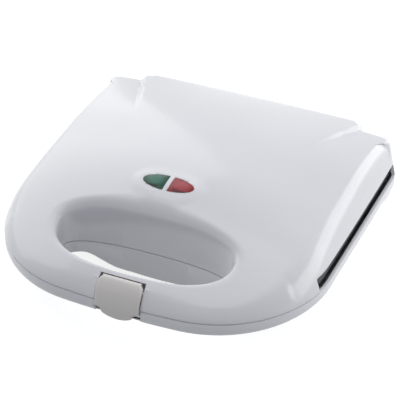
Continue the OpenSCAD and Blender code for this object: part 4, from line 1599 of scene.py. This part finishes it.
@dataclass(frozen=True)
class CookingPlate:
    """A cast plate with four three-cornered pockets, two to a slice of bread.

    Attributes:
        side: The half it belongs to.
        inset, front_y: Its edge's distance from the rim, and where its straight front lies.
        flange, cast: Thickness at its edge and round its pockets.
        depth, draft: The pockets' depth, and how far their walls lean in over it.
        slice_x, slice_y, ridge: The slice's extent on the plan, and the ridge across it.
        ridge_r: Radius of the ridges' upper edges.
        floor_r, floor_h: Run and height of the rounding at a pocket's floor.
        corner_steps: Points round a pocket's corner.
        screw_seat: How deep the screws' heads are sunk.
        stud, stud_r, stud_h: The studs under it: place, bore and radius, height.
    """

    side: Side
    size: Sizes = SIZE
    inset: float = 4.5
    front_y: float = 65.2
    flange: float = 4.0
    depth: float = 14.0
    draft: float = 6.0
    cast: float = 2.5
    slice_x: Pair = (3.5, 103)
    slice_y: Pair = (77, 203)
    ridge: float = 4.0
    ridge_r: float = 2.2
    floor_r: float = 4.0
    floor_h: float = 3.0
    corner_steps: int = 9
    screw_seat: float = 0.9
    stud: Point = (52, 112, -20.5)
    stud_r: Pair = (1.3, 3.5)
    stud_h: float = 12.0

    def outline(self) -> np.ndarray:
        """Returns the plate's outline on the plan, counterclockwise."""
        s = self.size
        cx, cy = s.corner
        r = s.corner_r - self.inset
        small = s.rear_r - self.inset
        x, y = s.hw - self.inset, s.rim_d - self.inset
        start = math.degrees(math.asin((self.front_y - cy) / r))
        front, rear = circle(cx, cy, r, start, 0, 14), circle(x - small, y - small, small, 0, 90, 12)
        right = [(0.0, self.front_y), *front, *rear]
        return np.array(right + [(-px, py) for px, py in right[:0:-1]])

    def shrink(self, outline: np.ndarray, by: float) -> np.ndarray:
        """Returns a closed outline moved inward by a small distance."""
        way = unit(np.roll(outline, -1, 0) - outline) + unit(outline - np.roll(outline, 1, 0))
        way = unit(way)
        return outline + np.column_stack([-way[:, 1], way[:, 0]]) * by

    def triangles(self) -> list[np.ndarray]:
        """Returns the corners of the four pockets, counterclockwise."""
        (x0, x1), (y0, y1), r = self.slice_x, self.slice_y, self.ridge
        right = [[(x0, y0 + r), (x1 - r, y1), (x0, y1)], [(x0 + r, y0), (x1, y0), (x1, y1 - r)]]
        left = [[(-x, y) for x, y in reversed(t)] for t in right]
        return [np.array(t, float) for t in right + left]

    def rounded(self, t: np.ndarray, by: float, r: float) -> np.ndarray:
        """Returns a triangle moved inward by a distance, with corners rounded to radius r.

        Args:
            t: Its corners.
            by: The distance.
            r: The corners' radius.

        Returns:
            The points round it.
        """
        ring: list[np.ndarray] = []
        for i in range(3):
            a, b, c = t[i], t[(i + 1) % 3], t[(i + 2) % 3]
            u, v = unit(b - a), unit(c - a)
            w = unit(u + v)
            sine = math.sqrt((1 - u @ v) / 2)
            centre = a + w * (by + r) / sine
            a0, a1 = math.atan2(v[0], -v[1]), math.atan2(-u[0], u[1])
            if a1 < a0:
                a1 += 2 * math.pi
            turns = np.linspace(a0, a1, self.corner_steps)
            ring += [centre + r * np.array([math.cos(x), math.sin(x)]) for x in turns]
        return np.array(ring)

    def walls(self, t: np.ndarray, grow: float) -> np.ndarray:
        """Returns the rings of a pocket from its rim to its floor.

        Args:
            t: The pocket's corners.
            grow: 0 for the face, the casting's thickness for the back.

        Returns:
            Array of rings by points by 3.
        """
        face, start = self.size.face_z, 0.1
        top = face if grow == 0 else face - self.flange
        drop = top - (face - self.depth if grow == 0 else face - self.depth - self.cast) - self.floor_h
        slope = self.draft / self.depth
        rows: list[tuple[float, float, float]] = []
        for a in np.radians(np.linspace(0, 60, 7)):
            rows.append((-1.6 + self.ridge_r * math.sin(a), self.ridge_r * (1 - math.cos(a)), 8.0))
        rows += [(d * slope + start, d, 7.0) for d in np.linspace(1.8, drop, 5)]
        for a in np.radians(np.linspace(20, 90, 6)):
            inward = drop * slope + start + self.floor_r * (1 - math.cos(a))
            rows.append((inward, drop + self.floor_h * math.sin(a), 5.0))
        return np.array([
            upright(self.rounded(t, by - grow, max(r - by * 0.4, 1.2) + grow * 0.5), top - down)
            for by, down, r in rows
        ])

    def fill(self, solid: Solid, outer: np.ndarray, holes: list[np.ndarray], z: float) -> None:
        """Fills an outline with holes by a flat face.

        Args:
            solid: Takes the triangles.
            outer: The outline.
            holes: Outlines left open.
            z: The face's height.
        """
        loops = [outer, *holes]
        points = [Vector(p) for loop in loops for p in loop]
        edges, start = [], 0
        for loop in loops:
            n = len(loop)
            edges += [(start + i, start + (i + 1) % n) for i in range(n)]
            start += n
        made, _, faces, *_ = delaunay_2d_cdt(points, edges, [], 1, WELD)
        at = np.array([(p.x, p.y) for p in made])
        middles = np.array([at[list(f)].mean(0) for f in faces])
        keep = self.inside(middles, outer)
        for hole in holes:
            keep &= ~self.inside(middles, hole)
        solid.add(upright(at, z), [f for f, k in zip(faces, keep) if k])

    @staticmethod
    def inside(points: np.ndarray, loop: np.ndarray) -> np.ndarray:
        """Says for each point whether it lies inside a closed loop.

        Args:
            points: The points.
            loop: The loop's points.

        Returns:
            True for each point inside.
        """
        x, y = points[:, :1], points[:, 1:]
        x0, y0 = loop.T
        x1, y1 = np.roll(loop, -1, 0).T
        spans = (y0 > y) != (y1 > y)
        with np.errstate(divide="ignore", invalid="ignore"):
            crossing = x < (x1 - x0) * (y - y0) / (y1 - y0) + x0
        return (spans & crossing).sum(1) % 2 == 1

    def build(self) -> Piece:
        """Returns the finished plate."""
        s = self.size
        solid = Solid()
        outer = self.outline()
        top, under, seat = s.face_z, s.face_z - self.flange, s.face_z - self.screw_seat
        edge = [(0.8, top), (0.35, top - 0.12), (0.08, top - 0.4), (0, seat), (0, under + 0.4), (0.4, under)]
        solid.loft(np.array([upright(self.shrink(outer, by), z) for by, z in edge]), caps=False)
        faces, backs = [], []
        for t in self.triangles():
            for grow, holes in ((0.0, faces), (self.cast, backs)):
                wall = self.walls(t, grow)
                solid.loft(wall, caps=False)
                holes.append(wall[0, :, :2])
                self.fill(solid, wall[-1, :, :2], [], wall[-1, 0, 2])
        rows = [(3.7, top), (3.5, top - 0.2), (3.5, seat), (1.7, seat), (1.7, under)]
        for x, y in Shells().plate_screws:
            for side in (-1, 1):
                rings = np.array([upright(circle(side * x, y, r, n=32), z) for r, z in rows])
                solid.loft(rings, caps=False)
                faces.append(rings[0, :, :2])
                backs.append(rings[-1, :, :2])
        self.fill(solid, self.shrink(outer, edge[0][0]), faces, top)
        self.fill(solid, self.shrink(outer, edge[-1][0]), backs, under)
        x, y, foot = self.stud
        for side in (-1, 1):
            solid.tube(self.stud_r, (side * x, y, foot), (0, 0, 1), self.stud_h)
        if self.side is Side.LID:
            flip = np.array([1, 1, -1])
            solid.points = [p * flip + [0, 0, 2 * s.face_z + s.plate_gap] for p in solid.points]
        return solid.mesh(f"{self.side.value}_grill_plate", 40)


# ---- latch and lights


@dataclass(frozen=True)
class Latch:
    """The clip latch: a curved blade with a rounded tongue, a pivot barrel and a hook.

    Attributes:
        pivot: The pin in y and z.
        barrel_r: Radius of the barrel on the pin.
        top_z, top_round: Height of the blade's upper end, and its corners' radius.
        tongue_w, tongue_r, tongue_z: The tongue's width, and its end's arc.
        waist_z, waist_h: Where the blade narrows to the tongue.
        crown, edge_r: How much the blade's front swells across, and its edges' radius.
        front, back: The blade's two faces in y and z, from top to bottom.
        rib_x, rib, hook: Places of the ribs, their profile in y and z, and the hook's.
    """

    size: Sizes = SIZE
    pivot: Point = Handle.pivot
    barrel_r: float = 3.0
    top_z: float = 15.95
    top_round: float = 3.0
    tongue_w: float = 22.0
    tongue_r: float = 18.2
    tongue_z: float = 7.7
    waist_z: float = -4.6
    waist_h: float = 2.2
    crown: float = 0.35
    edge_r: float = 1.1
    front: tuple[Point, ...] = ((8.8, 15.55), (7.3, 15.85), (5.7, 15.35), (3.4, 13.2), (0.9, 9.6), (-0.9, 5),
                                (-1.9, 0.5), (-2.15, -3), (-2.1, -7), (-1.5, -9.5), (-0.8, -10.35))
    back: tuple[Point, ...] = ((9.45, 15.15), (9.75, 14.1), (9.1, 12.2), (7.4, 10.4), (4.6, 8), (1.9, 4.5),
                               (0.9, 0.5), (0.7, -2.5), (0.8, -6.5), (0.5, -9.2), (-0.1, -10.25))
    rib_x: tuple[float, ...] = (-11, 0, 11)
    rib: tuple[Point, ...] = ((1.2, 5.2), (4.4, 9.0), (7.0, 10.4), (5.2, 12.4), (1.0, 8.6))
    hook: tuple[Point, ...] = ((0.2, -8.4), (0.9, -8), (2.6, -7.6), (2.6, -5.9), (0.9, -5.9), (0.2, -5.4))

    @staticmethod
    def spline(points: Sequence[Point], n: int) -> np.ndarray:
        """Returns n places along a smooth curve through the points.

        Args:
            points: The points.
            n: How many places.

        Returns:
            Array of n places.
        """
        p = np.array(points, float)
        p = np.vstack([2 * p[0] - p[1], p, 2 * p[-1] - p[-2]])
        t = np.linspace(0, len(points) - 1 - 1e-6, n)
        i = t.astype(int)
        u = (t - i)[:, None]
        a, b, c, d = (p[i + k] for k in range(4))
        square, cube = 2 * a - 5 * b + 4 * c - d, 3 * b - a - 3 * c + d
        return 0.5 * (2 * b + (c - a) * u + square * u**2 + cube * u**3)

    def half_width(self, z: float) -> float:
        """Returns half the blade's width at a height.

        Args:
            z: The height.

        Returns:
            Half the width in millimetres.
        """
        lack = max(z - self.top_z + self.top_round, 0)
        full = self.size.latch_w / 2 - self.top_round + math.sqrt(max(self.top_round**2 - lack**2, 0))
        tip = math.sqrt(max(self.tongue_r**2 - (self.tongue_z - z) ** 2, 0.05))
        tongue = min(self.tongue_w / 2, tip)
        return float(mix(tongue, full, smooth((z - self.waist_z) / self.waist_h)))

    def ring(self, f: np.ndarray, b: np.ndarray) -> np.ndarray:
        """Returns the blade's cross-section between a front and a back point.

        Args:
            f, b: The points in y and z.

        Returns:
            The points round it.
        """
        way = b - f
        thick = float(np.hypot(*way))
        way = way / thick
        w = self.half_width(float(f[1]))
        r = min(self.edge_r, thick * 0.45, w * 0.5)
        across = np.linspace(-1, 1, 25)
        rows = [(x * (w - r), self.crown * x**2) for x in across]
        angles = np.radians([30, 60, 90])
        turns = [(w - r + r * math.sin(a), self.crown + r * (1 - math.cos(a))) for a in angles]
        rows += [*turns, (w, thick - 0.2)]
        rows += [(x * (w - 0.3), thick) for x in across[::-1]]
        rows += [(-w, thick - 0.2), *((-x, d) for x, d in turns[::-1])]
        return np.array([(x, f[0] + way[0] * d, f[1] + way[1] * d) for x, d in rows])

    def build(self) -> Piece:
        """Returns the finished latch."""
        front, back = self.spline(self.front, 72), self.spline(self.back, 72)
        solid = Solid()
        solid.loft(np.array([self.ring(f, b) for f, b in zip(front, back)]))
        w = self.size.latch_w / 2 - 0.4
        solid.bar(circle(*self.pivot, self.barrel_r, n=36), -w, w, 0.4)
        for x in self.rib_x:
            solid.bar(self.rib, x - 0.9, x + 0.9, 0.2)
        solid.bar(self.hook, -9.6, 9.6, 0.3)
        return solid.mesh("latch_clip", 35)


@dataclass(frozen=True)
class Lights:
    """The two signal lights: half-oval lenses on either side of a divider.

    Attributes:
        floor: Height of the lenses' undersides.
        steps: Points round a lens's arc.
        shrink: How much smaller a lens is than its half of the oval.
        rim: Share of a lens's outline and its rise over the pod, up the rounded rim.
        dome_low, dome: Rise over the pod where the dome starts, and the dome's own.
    """

    size: Sizes = SIZE
    floor: float = 36.55
    steps: int = 48
    shrink: float = 0.02
    rim: tuple[Point, ...] = ((1, -0.25), (0.997, 0.0), (0.985, 0.16), (0.965, 0.26))
    dome_low: float = 0.28
    dome: float = 0.45

    def plan(self, side: int, grow: float) -> list[Point]:
        """Returns the outline of a lens on the plan, grown by a clearance.

        Args:
            side: -1 on the left, 1 on the right.
            grow: The clearance.

        Returns:
            The outline, counterclockwise.
        """
        s = self.size
        x0 = s.divider_w / 2 - grow
        a, b = s.lens_a + grow, s.lens_b + grow
        turn = math.acos(x0 / a)
        arc = [(a * math.cos(t), b * math.sin(t)) for t in np.linspace(-turn, turn, self.steps)]
        flat = [(x0, y) for y in np.linspace(arc[-1][1], arc[0][1], 10)[1:-1]]
        points = [(side * x, s.lamp_y + y) for x, y in arc + flat]
        return points if side > 0 else points[::-1]

    def lens(self, side: int) -> Piece:
        """Returns one domed lens.

        Args:
            side: -1 on the left, 1 on the right.

        Returns:
            The finished piece.
        """
        s = self.size
        plan = np.array(self.plan(side, -self.shrink))
        middle = np.array([side * s.lens_a * 0.5, s.lamp_y])
        dome = [(w, self.dome_low + self.dome * (1 - w**2)) for w in np.linspace(0.94, 0.03, 18)]
        rings = [upright(plan, self.floor)]
        for w, rise in [*self.rim, *dome]:
            at = middle + (plan - middle) * w
            rings.append(np.column_stack([at, FORM.top(at[:, 0], at[:, 1]) + rise]))
        solid = Solid()
        solid.loft(np.array(rings))
        return solid.mesh("lens_cover_green" if side < 0 else "lens_cover_red", 40)


# ---- patterns in geometry nodes


class Pattern:
    """A geometry node tree that sets copies of a small turned form on given points."""

    def __init__(self, name: str, sizes: dict[str, float]) -> None:
        """Makes the tree with a named input for each size.

        Args:
            name: The tree's name.
            sizes: The inputs' names and values, in metres or as shares of another.
        """
        self.tree = bpy.data.node_groups.new(name, "GeometryNodeTree")
        face = self.tree.interface
        face.new_socket("Points", in_out="INPUT", socket_type="NodeSocketGeometry")
        face.new_socket("Finish", in_out="INPUT", socket_type="NodeSocketMaterial")
        for key, value in sizes.items():
            face.new_socket(key, in_out="INPUT", socket_type="NodeSocketFloat").default_value = value
        face.new_socket("Mesh", in_out="OUTPUT", socket_type="NodeSocketGeometry")
        self.inputs = self.tree.nodes.new("NodeGroupInput").outputs

    def node(self, kind: str, settings: dict[str, object], values: dict[str | int, object]) -> Socket:
        """Adds a node: its settings first, then the values or links of its sockets.

        Args:
            kind: The node's type.
            settings: The node's own settings.
            values: Numbers, sockets or lists of sockets for its inputs, by name or place.

        Returns:
            Its first output.
        """
        made = self.tree.nodes.new(kind)
        for key, value in settings.items():
            setattr(made, key, value)
        for key, value in values.items():
            sockets = value if isinstance(value, list) else [value]
            for socket in sockets:
                if isinstance(socket, Socket):
                    self.tree.links.new(socket, made.inputs[key])
                else:
                    made.inputs[key].default_value = socket
        return made.outputs[0]

    def math(self, operation: str, *args: Socket | float) -> Socket:
        """Adds a Math node and returns its result."""
        return self.node("ShaderNodeMath", {"operation": operation}, dict(enumerate(args)))

    def vector(self, x: object = 0.0, y: object = 0.0, z: object = 0.0) -> Socket:
        """Returns a vector of three values."""
        return self.node("ShaderNodeCombineXYZ", {}, {"X": x, "Y": y, "Z": z})

    def moved(self, form: Socket, base: object = 0.0, turn: Point = (0, 0, 0)) -> Socket:
        """Returns a form turned and lifted to a height."""
        values = {"Geometry": form, "Translation": self.vector(z=base), "Rotation": turn}
        return self.node("GeometryNodeTransform", {}, values)

    def cone(self, low: object, high: object, height: object, base: object, steps: int = 40) -> Socket:
        """Returns a cone's stump standing at a height.

        Args:
            low, high: Radii of its lower and upper ends.
            height: Its height.
            base: Where its lower end lies.
            steps: Faces round.

        Returns:
            Its geometry.
        """
        values = {"Vertices": steps, "Radius Bottom": low, "Radius Top": high, "Depth": height}
        return self.moved(self.node("GeometryNodeMeshCone", {}, values), base)

    def combine(self, operation: str, forms: list[Socket], whole: Socket | None = None) -> Socket:
        """Returns the union of forms, or a whole less them."""
        values = {1: forms} if whole is None else {0: whole, 1: forms}
        return self.node("GeometryNodeMeshBoolean", {"operation": operation, "solver": "EXACT"}, values)

    def finish(self, form: Socket) -> None:
        """Sets a form on the points, turns its copies real and gives them their finish.

        Args:
            form: The geometry to copy.
        """
        flat = self.node("GeometryNodeSetShadeSmooth", {}, {"Geometry": form, "Shade Smooth": False})
        at = {"Points": self.inputs["Points"], "Instance": flat}
        copies = self.node("GeometryNodeInstanceOnPoints", {}, at)
        real = self.node("GeometryNodeRealizeInstances", {}, {"Geometry": copies})
        done = self.node("GeometryNodeSetMaterial", {}, {"Geometry": real, "Material": self.inputs["Finish"]})
        self.tree.links.new(done, self.tree.nodes.new("NodeGroupOutput").inputs[0])

    def grow(self, name: str, points: np.ndarray, finish: bpy.types.Material) -> Piece:
        """Sets the pattern on points and returns the plain mesh.

        Args:
            name: The new piece's name.
            points: The places, in millimetres of the layout.
            finish: The material.

        Returns:
            The piece, with no modifier left on it.
        """
        data = bpy.data.meshes.new(name)
        data.from_pydata(in_frame(points).tolist(), [], [])
        made = put(name, data)
        change = made.modifiers.new("pattern", "NODES")
        change.node_group = self.tree
        for item in self.tree.interface.items_tree:
            if item.name == "Finish":
                change[item.identifier] = finish
        made.update_tag()
        fix(made, change)
        soften(made.data, 35)
        return made


class Screws(Pattern):
    """Pan-head screws with a cross recess, heads up or down."""

    def __init__(self, name: str, facing: int) -> None:
        """Makes the tree; facing is 1 for heads up and -1 for heads down."""
        super().__init__(name, {"Shaft Radius": 0.00145, "Shaft Length": 0.01, "Head Radius": 0.0032,
                                "Head Height": 0.0007, "Head Side": 0.45, "Crown Share": 0.8,
                                "Recess Width": 0.0007, "Recess Share": 1.1})
        radius, length, head_r, head_h, side, crown, width, share = self.inputs[2:10]
        shaft = self.cone(radius, radius, length, self.math("MULTIPLY", length, -1), 24)
        rim_h = self.math("MULTIPLY", head_h, side)
        top_h = self.math("SUBTRACT", head_h, rim_h)
        low = self.cone(head_r, head_r, rim_h, 0.0)
        high = self.cone(head_r, self.math("MULTIPLY", head_r, crown), top_h, rim_h)
        size = self.vector(self.math("MULTIPLY", head_r, share), width, self.math("MULTIPLY", head_h, share))
        arm = self.node("GeometryNodeMeshCube", {}, {"Size": size})
        cross = [self.moved(arm, head_h, (0, 0, turn)) for turn in (0.0, math.pi / 2)]
        head = self.combine("DIFFERENCE", cross, self.combine("UNION", [low, high]))
        whole = self.node("GeometryNodeJoinGeometry", {}, {0: [shaft, head]})
        self.finish(self.moved(whole, turn=(0 if facing > 0 else math.pi, 0, 0)))


class Feet(Pattern):
    """Round rubber feet: a softly edged pad with a stem and a barb that holds it in the floor."""

    def __init__(self) -> None:
        """Makes the tree."""
        super().__init__("feet", {"Pad Radius": 0.009, "Pad Height": 0.006, "Edge": 0.0007,
                                  "Stem Radius": 0.0039, "Stem Height": 0.0094,
                                  "Barb Radius": 0.005, "Barb Top": 0.0042, "Barb Height": 0.002})
        pad_r, pad_h, edge, stem_r, stem_h, barb_r, barb_top, barb_h = self.inputs[2:10]
        inner = self.math("SUBTRACT", pad_r, edge)
        body = self.math("SUBTRACT", pad_h, self.math("MULTIPLY", edge, 2.0))
        forms = [
            self.cone(inner, pad_r, edge, 0.0, 56),
            self.cone(pad_r, pad_r, body, edge, 56),
            self.cone(pad_r, inner, edge, self.math("ADD", edge, body), 56),
            self.cone(stem_r, stem_r, stem_h, 0.0, 32),
            self.cone(barb_r, barb_top, barb_h, stem_h, 32),
        ]
        self.finish(self.node("GeometryNodeJoinGeometry", {}, {0: forms}))


# ---- studio


@dataclass(frozen=True)
class Lamp:
    """An area lamp: its place and size in metres and its power in watts."""

    name: str
    place: Point
    power: float
    size: Pair


@dataclass(frozen=True)
class Studio:
    """A pale floor, soft light from behind on both sides and little from the front.

    Attributes:
        target, place: What camera and lamps face, and where the camera stands, in metres.
        lens, shift: The camera's lens in millimetres, and its shift.
        lamps: The lamps.
        floor_hw: Half the floor's width.
        grey, grain, glow: The floor's tone, how much it varies, and what it adds where it is seen.
        sky, sky_power: The surroundings' light.
    """

    target: tuple[float, float, float] = (0, -0.0075, 0.046)
    place: tuple[float, float, float] = (0.3957, -0.8969, 0.7277)
    lens: float = 157.49
    shift: Pair = (0.03205, 0.00565)
    lamps: tuple[Lamp, ...] = (
        Lamp("right_rear", (1.25, 1.05, 0.56), 20.5, (2.6, 1.1)),
        Lamp("left_rear", (-1.42, 0.52, 1.0), 18.5, (3.0, 1.9)),
        Lamp("above", (0.0, -0.2, 1.8), 7, (1.6, 1.6)),
    )
    floor_hw: float = 6.0
    grey: float = 0.5
    grain: float = 0.004
    glow: float = 0.8
    sky: Colour = (0.84, 0.92, 1)
    sky_power: float = 0.35

    def stand(self, name: str, data: bpy.types.ID, place: Point) -> Piece:
        """Makes a camera or a lamp that faces the toaster.

        Args:
            name, data: Its name and data.
            place: Where it stands, in metres.

        Returns:
            The new object.
        """
        made = put(name, data)
        made.location = place
        made.rotation_euler = (Vector(self.target) - Vector(place)).to_track_quat("-Z", "Y").to_euler()
        return made

    def camera(self) -> None:
        """Makes the camera at the photograph's angle."""
        data = bpy.data.cameras.new("camera")
        data.lens, data.sensor_width = self.lens, 36
        data.shift_x, data.shift_y = self.shift
        data.clip_end = 50
        bpy.context.scene.camera = self.stand("camera", data, self.place)

    def light(self) -> None:
        """Makes the lamps."""
        for lamp in self.lamps:
            data = bpy.data.lights.new(lamp.name, "AREA")
            data.shape, data.energy = "RECTANGLE", lamp.power
            data.size, data.size_y = lamp.size
            self.stand(lamp.name, data, lamp.place)

    def floor(self) -> None:
        """Makes the floor, which shows white where no shadow falls."""
        data = bpy.data.meshes.new("floor")
        w = self.floor_hw
        data.from_pydata([(-w, -w, 0), (w, -w, 0), (w, w, 0), (-w, w, 0)], [], [(0, 1, 2, 3)])
        made = put("floor", data)
        net = Net(bpy.data.materials.new("floor_paper"))
        tone = net.noise(3, 2) * self.grain + self.grey
        colour = net.node("ShaderNodeCombineColor", {}, {"Red": tone, "Green": tone, "Blue": tone})
        paper = net.node("ShaderNodeBsdfDiffuse", {}, {"Color": colour})
        glow = net.node("ShaderNodeEmission", {}, {"Color": (1, 1, 1), "Strength": self.glow})
        lit = net.node("ShaderNodeAddShader", {}, {0: paper, 1: glow})
        both = net.node("ShaderNodeMixShader", {}, {0: net.sight(), 1: paper, 2: lit})
        made.data.materials.append(net.end(both))

    def world(self) -> None:
        """Makes the surroundings: soft light, and white where the camera sees them."""
        net = Net(bpy.data.worlds.new("studio"))
        soft = net.node("ShaderNodeBackground", {}, {"Color": self.sky, "Strength": self.sky_power})
        white = net.node("ShaderNodeBackground", {}, {"Color": (1, 1, 1)})
        both = net.node("ShaderNodeMixShader", {}, {0: net.sight(), 1: soft, 2: white})
        bpy.context.scene.world = net.end(both)

    def build(self) -> None:
        """Makes camera, lamps, floor and surroundings."""
        self.camera()
        self.light()
        self.floor()
        self.world()
        bpy.context.scene.view_settings.view_transform = "Standard"


# ---- assembly


@dataclass
class Toaster:
    """The whole toaster, built round its frame."""

    finishes: Finishes
    frame: dict[str, object]
    replaced: set[str] = field(default_factory=set)

    def set(self, piece: Piece, body: str, slot: str, *nodes: str) -> None:
        """Dresses a piece and sets it on its body in place of its nodes.

        Args:
            piece: The finished object.
            body: The body it rides on.
            slot: The material slot.
            nodes: The frame's nodes that it stands for.
        """
        self.finishes.dress(piece, slot)
        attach(piece, body)
        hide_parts(*nodes)
        self.replaced.update(nodes)
        LOG.info("%s: %d faces, rides on %s, finish %s", piece.name, len(piece.data.polygons), body, slot)

    def shells(self) -> None:
        """Builds both housings."""
        self.set(LidShell().build(), "lid", "white_plastic", "lid_shell")
        self.set(BaseShell().build(), "base", "white_plastic", "base_shell")

    def plates(self) -> None:
        """Builds both cooking plates and their screws."""
        s = SIZE
        for side in Side:
            plate = CookingPlate(side).build()
            self.set(plate, side.value, "coated_aluminium", f"{side.value}_cooking_plate")
            top = s.face_z - CookingPlate.screw_seat
            z, facing = (top, 1) if side is Side.BASE else (2 * s.face_z + s.plate_gap - top, -1)
            at = np.array([(k * x, y, z) for x, y in Shells().plate_screws for k in (-1, 1)])
            screws = Screws(f"plate_screw_{side.value}", facing)
            piece = screws.grow(f"{side.value}_grill_plate_fixings", at, self.finishes.made["steel"])
            self.set(piece, side.value, "steel", f"{side.value}_plate_screws")

    def details(self) -> None:
        """Builds the latch, the lights and the feet."""
        self.set(Latch().build(), "latch", "latch_plastic", "latch")
        self.set(Lights().lens(-1), "lid", "green_lens", "lens_green")
        self.set(Lights().lens(1), "lid", "red_lens", "lens_red")
        at = np.array([(k * x, y, -SIZE.part_h) for x, y in Shells().feet for k in (-1, 1)])
        feet = Feet().grow("rubber_feet", at, self.finishes.made["foot_rubber"])
        names = [f"foot_{end}_{side}" for end in ("front", "rear") for side in ("left", "right")]
        self.set(feet, "base", "foot_rubber", *names)

    def carried(self) -> None:
        """Gives each of the frame's own pieces that nothing stands for its finish."""
        for row in self.frame["record"]["subparts"]:
            name, slot = row["node"], row["material_slot"]
            if name not in self.replaced:
                self.finishes.dress(bpy.data.objects[name], slot)
                LOG.info("%s: carried over, finish %s", name, slot)

    def build(self) -> None:
        """Builds and dresses everything."""
        self.shells()
        self.plates()
        self.details()
        self.carried()


def main() -> None:
    """Loads the frame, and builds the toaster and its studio."""
    logging.basicConfig(level=logging.INFO, format="%(message)s")
    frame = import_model()
    Toaster(Finishes(FINISHES), frame).build()
    Studio().build()


if __name__ == "__main__":
    main()
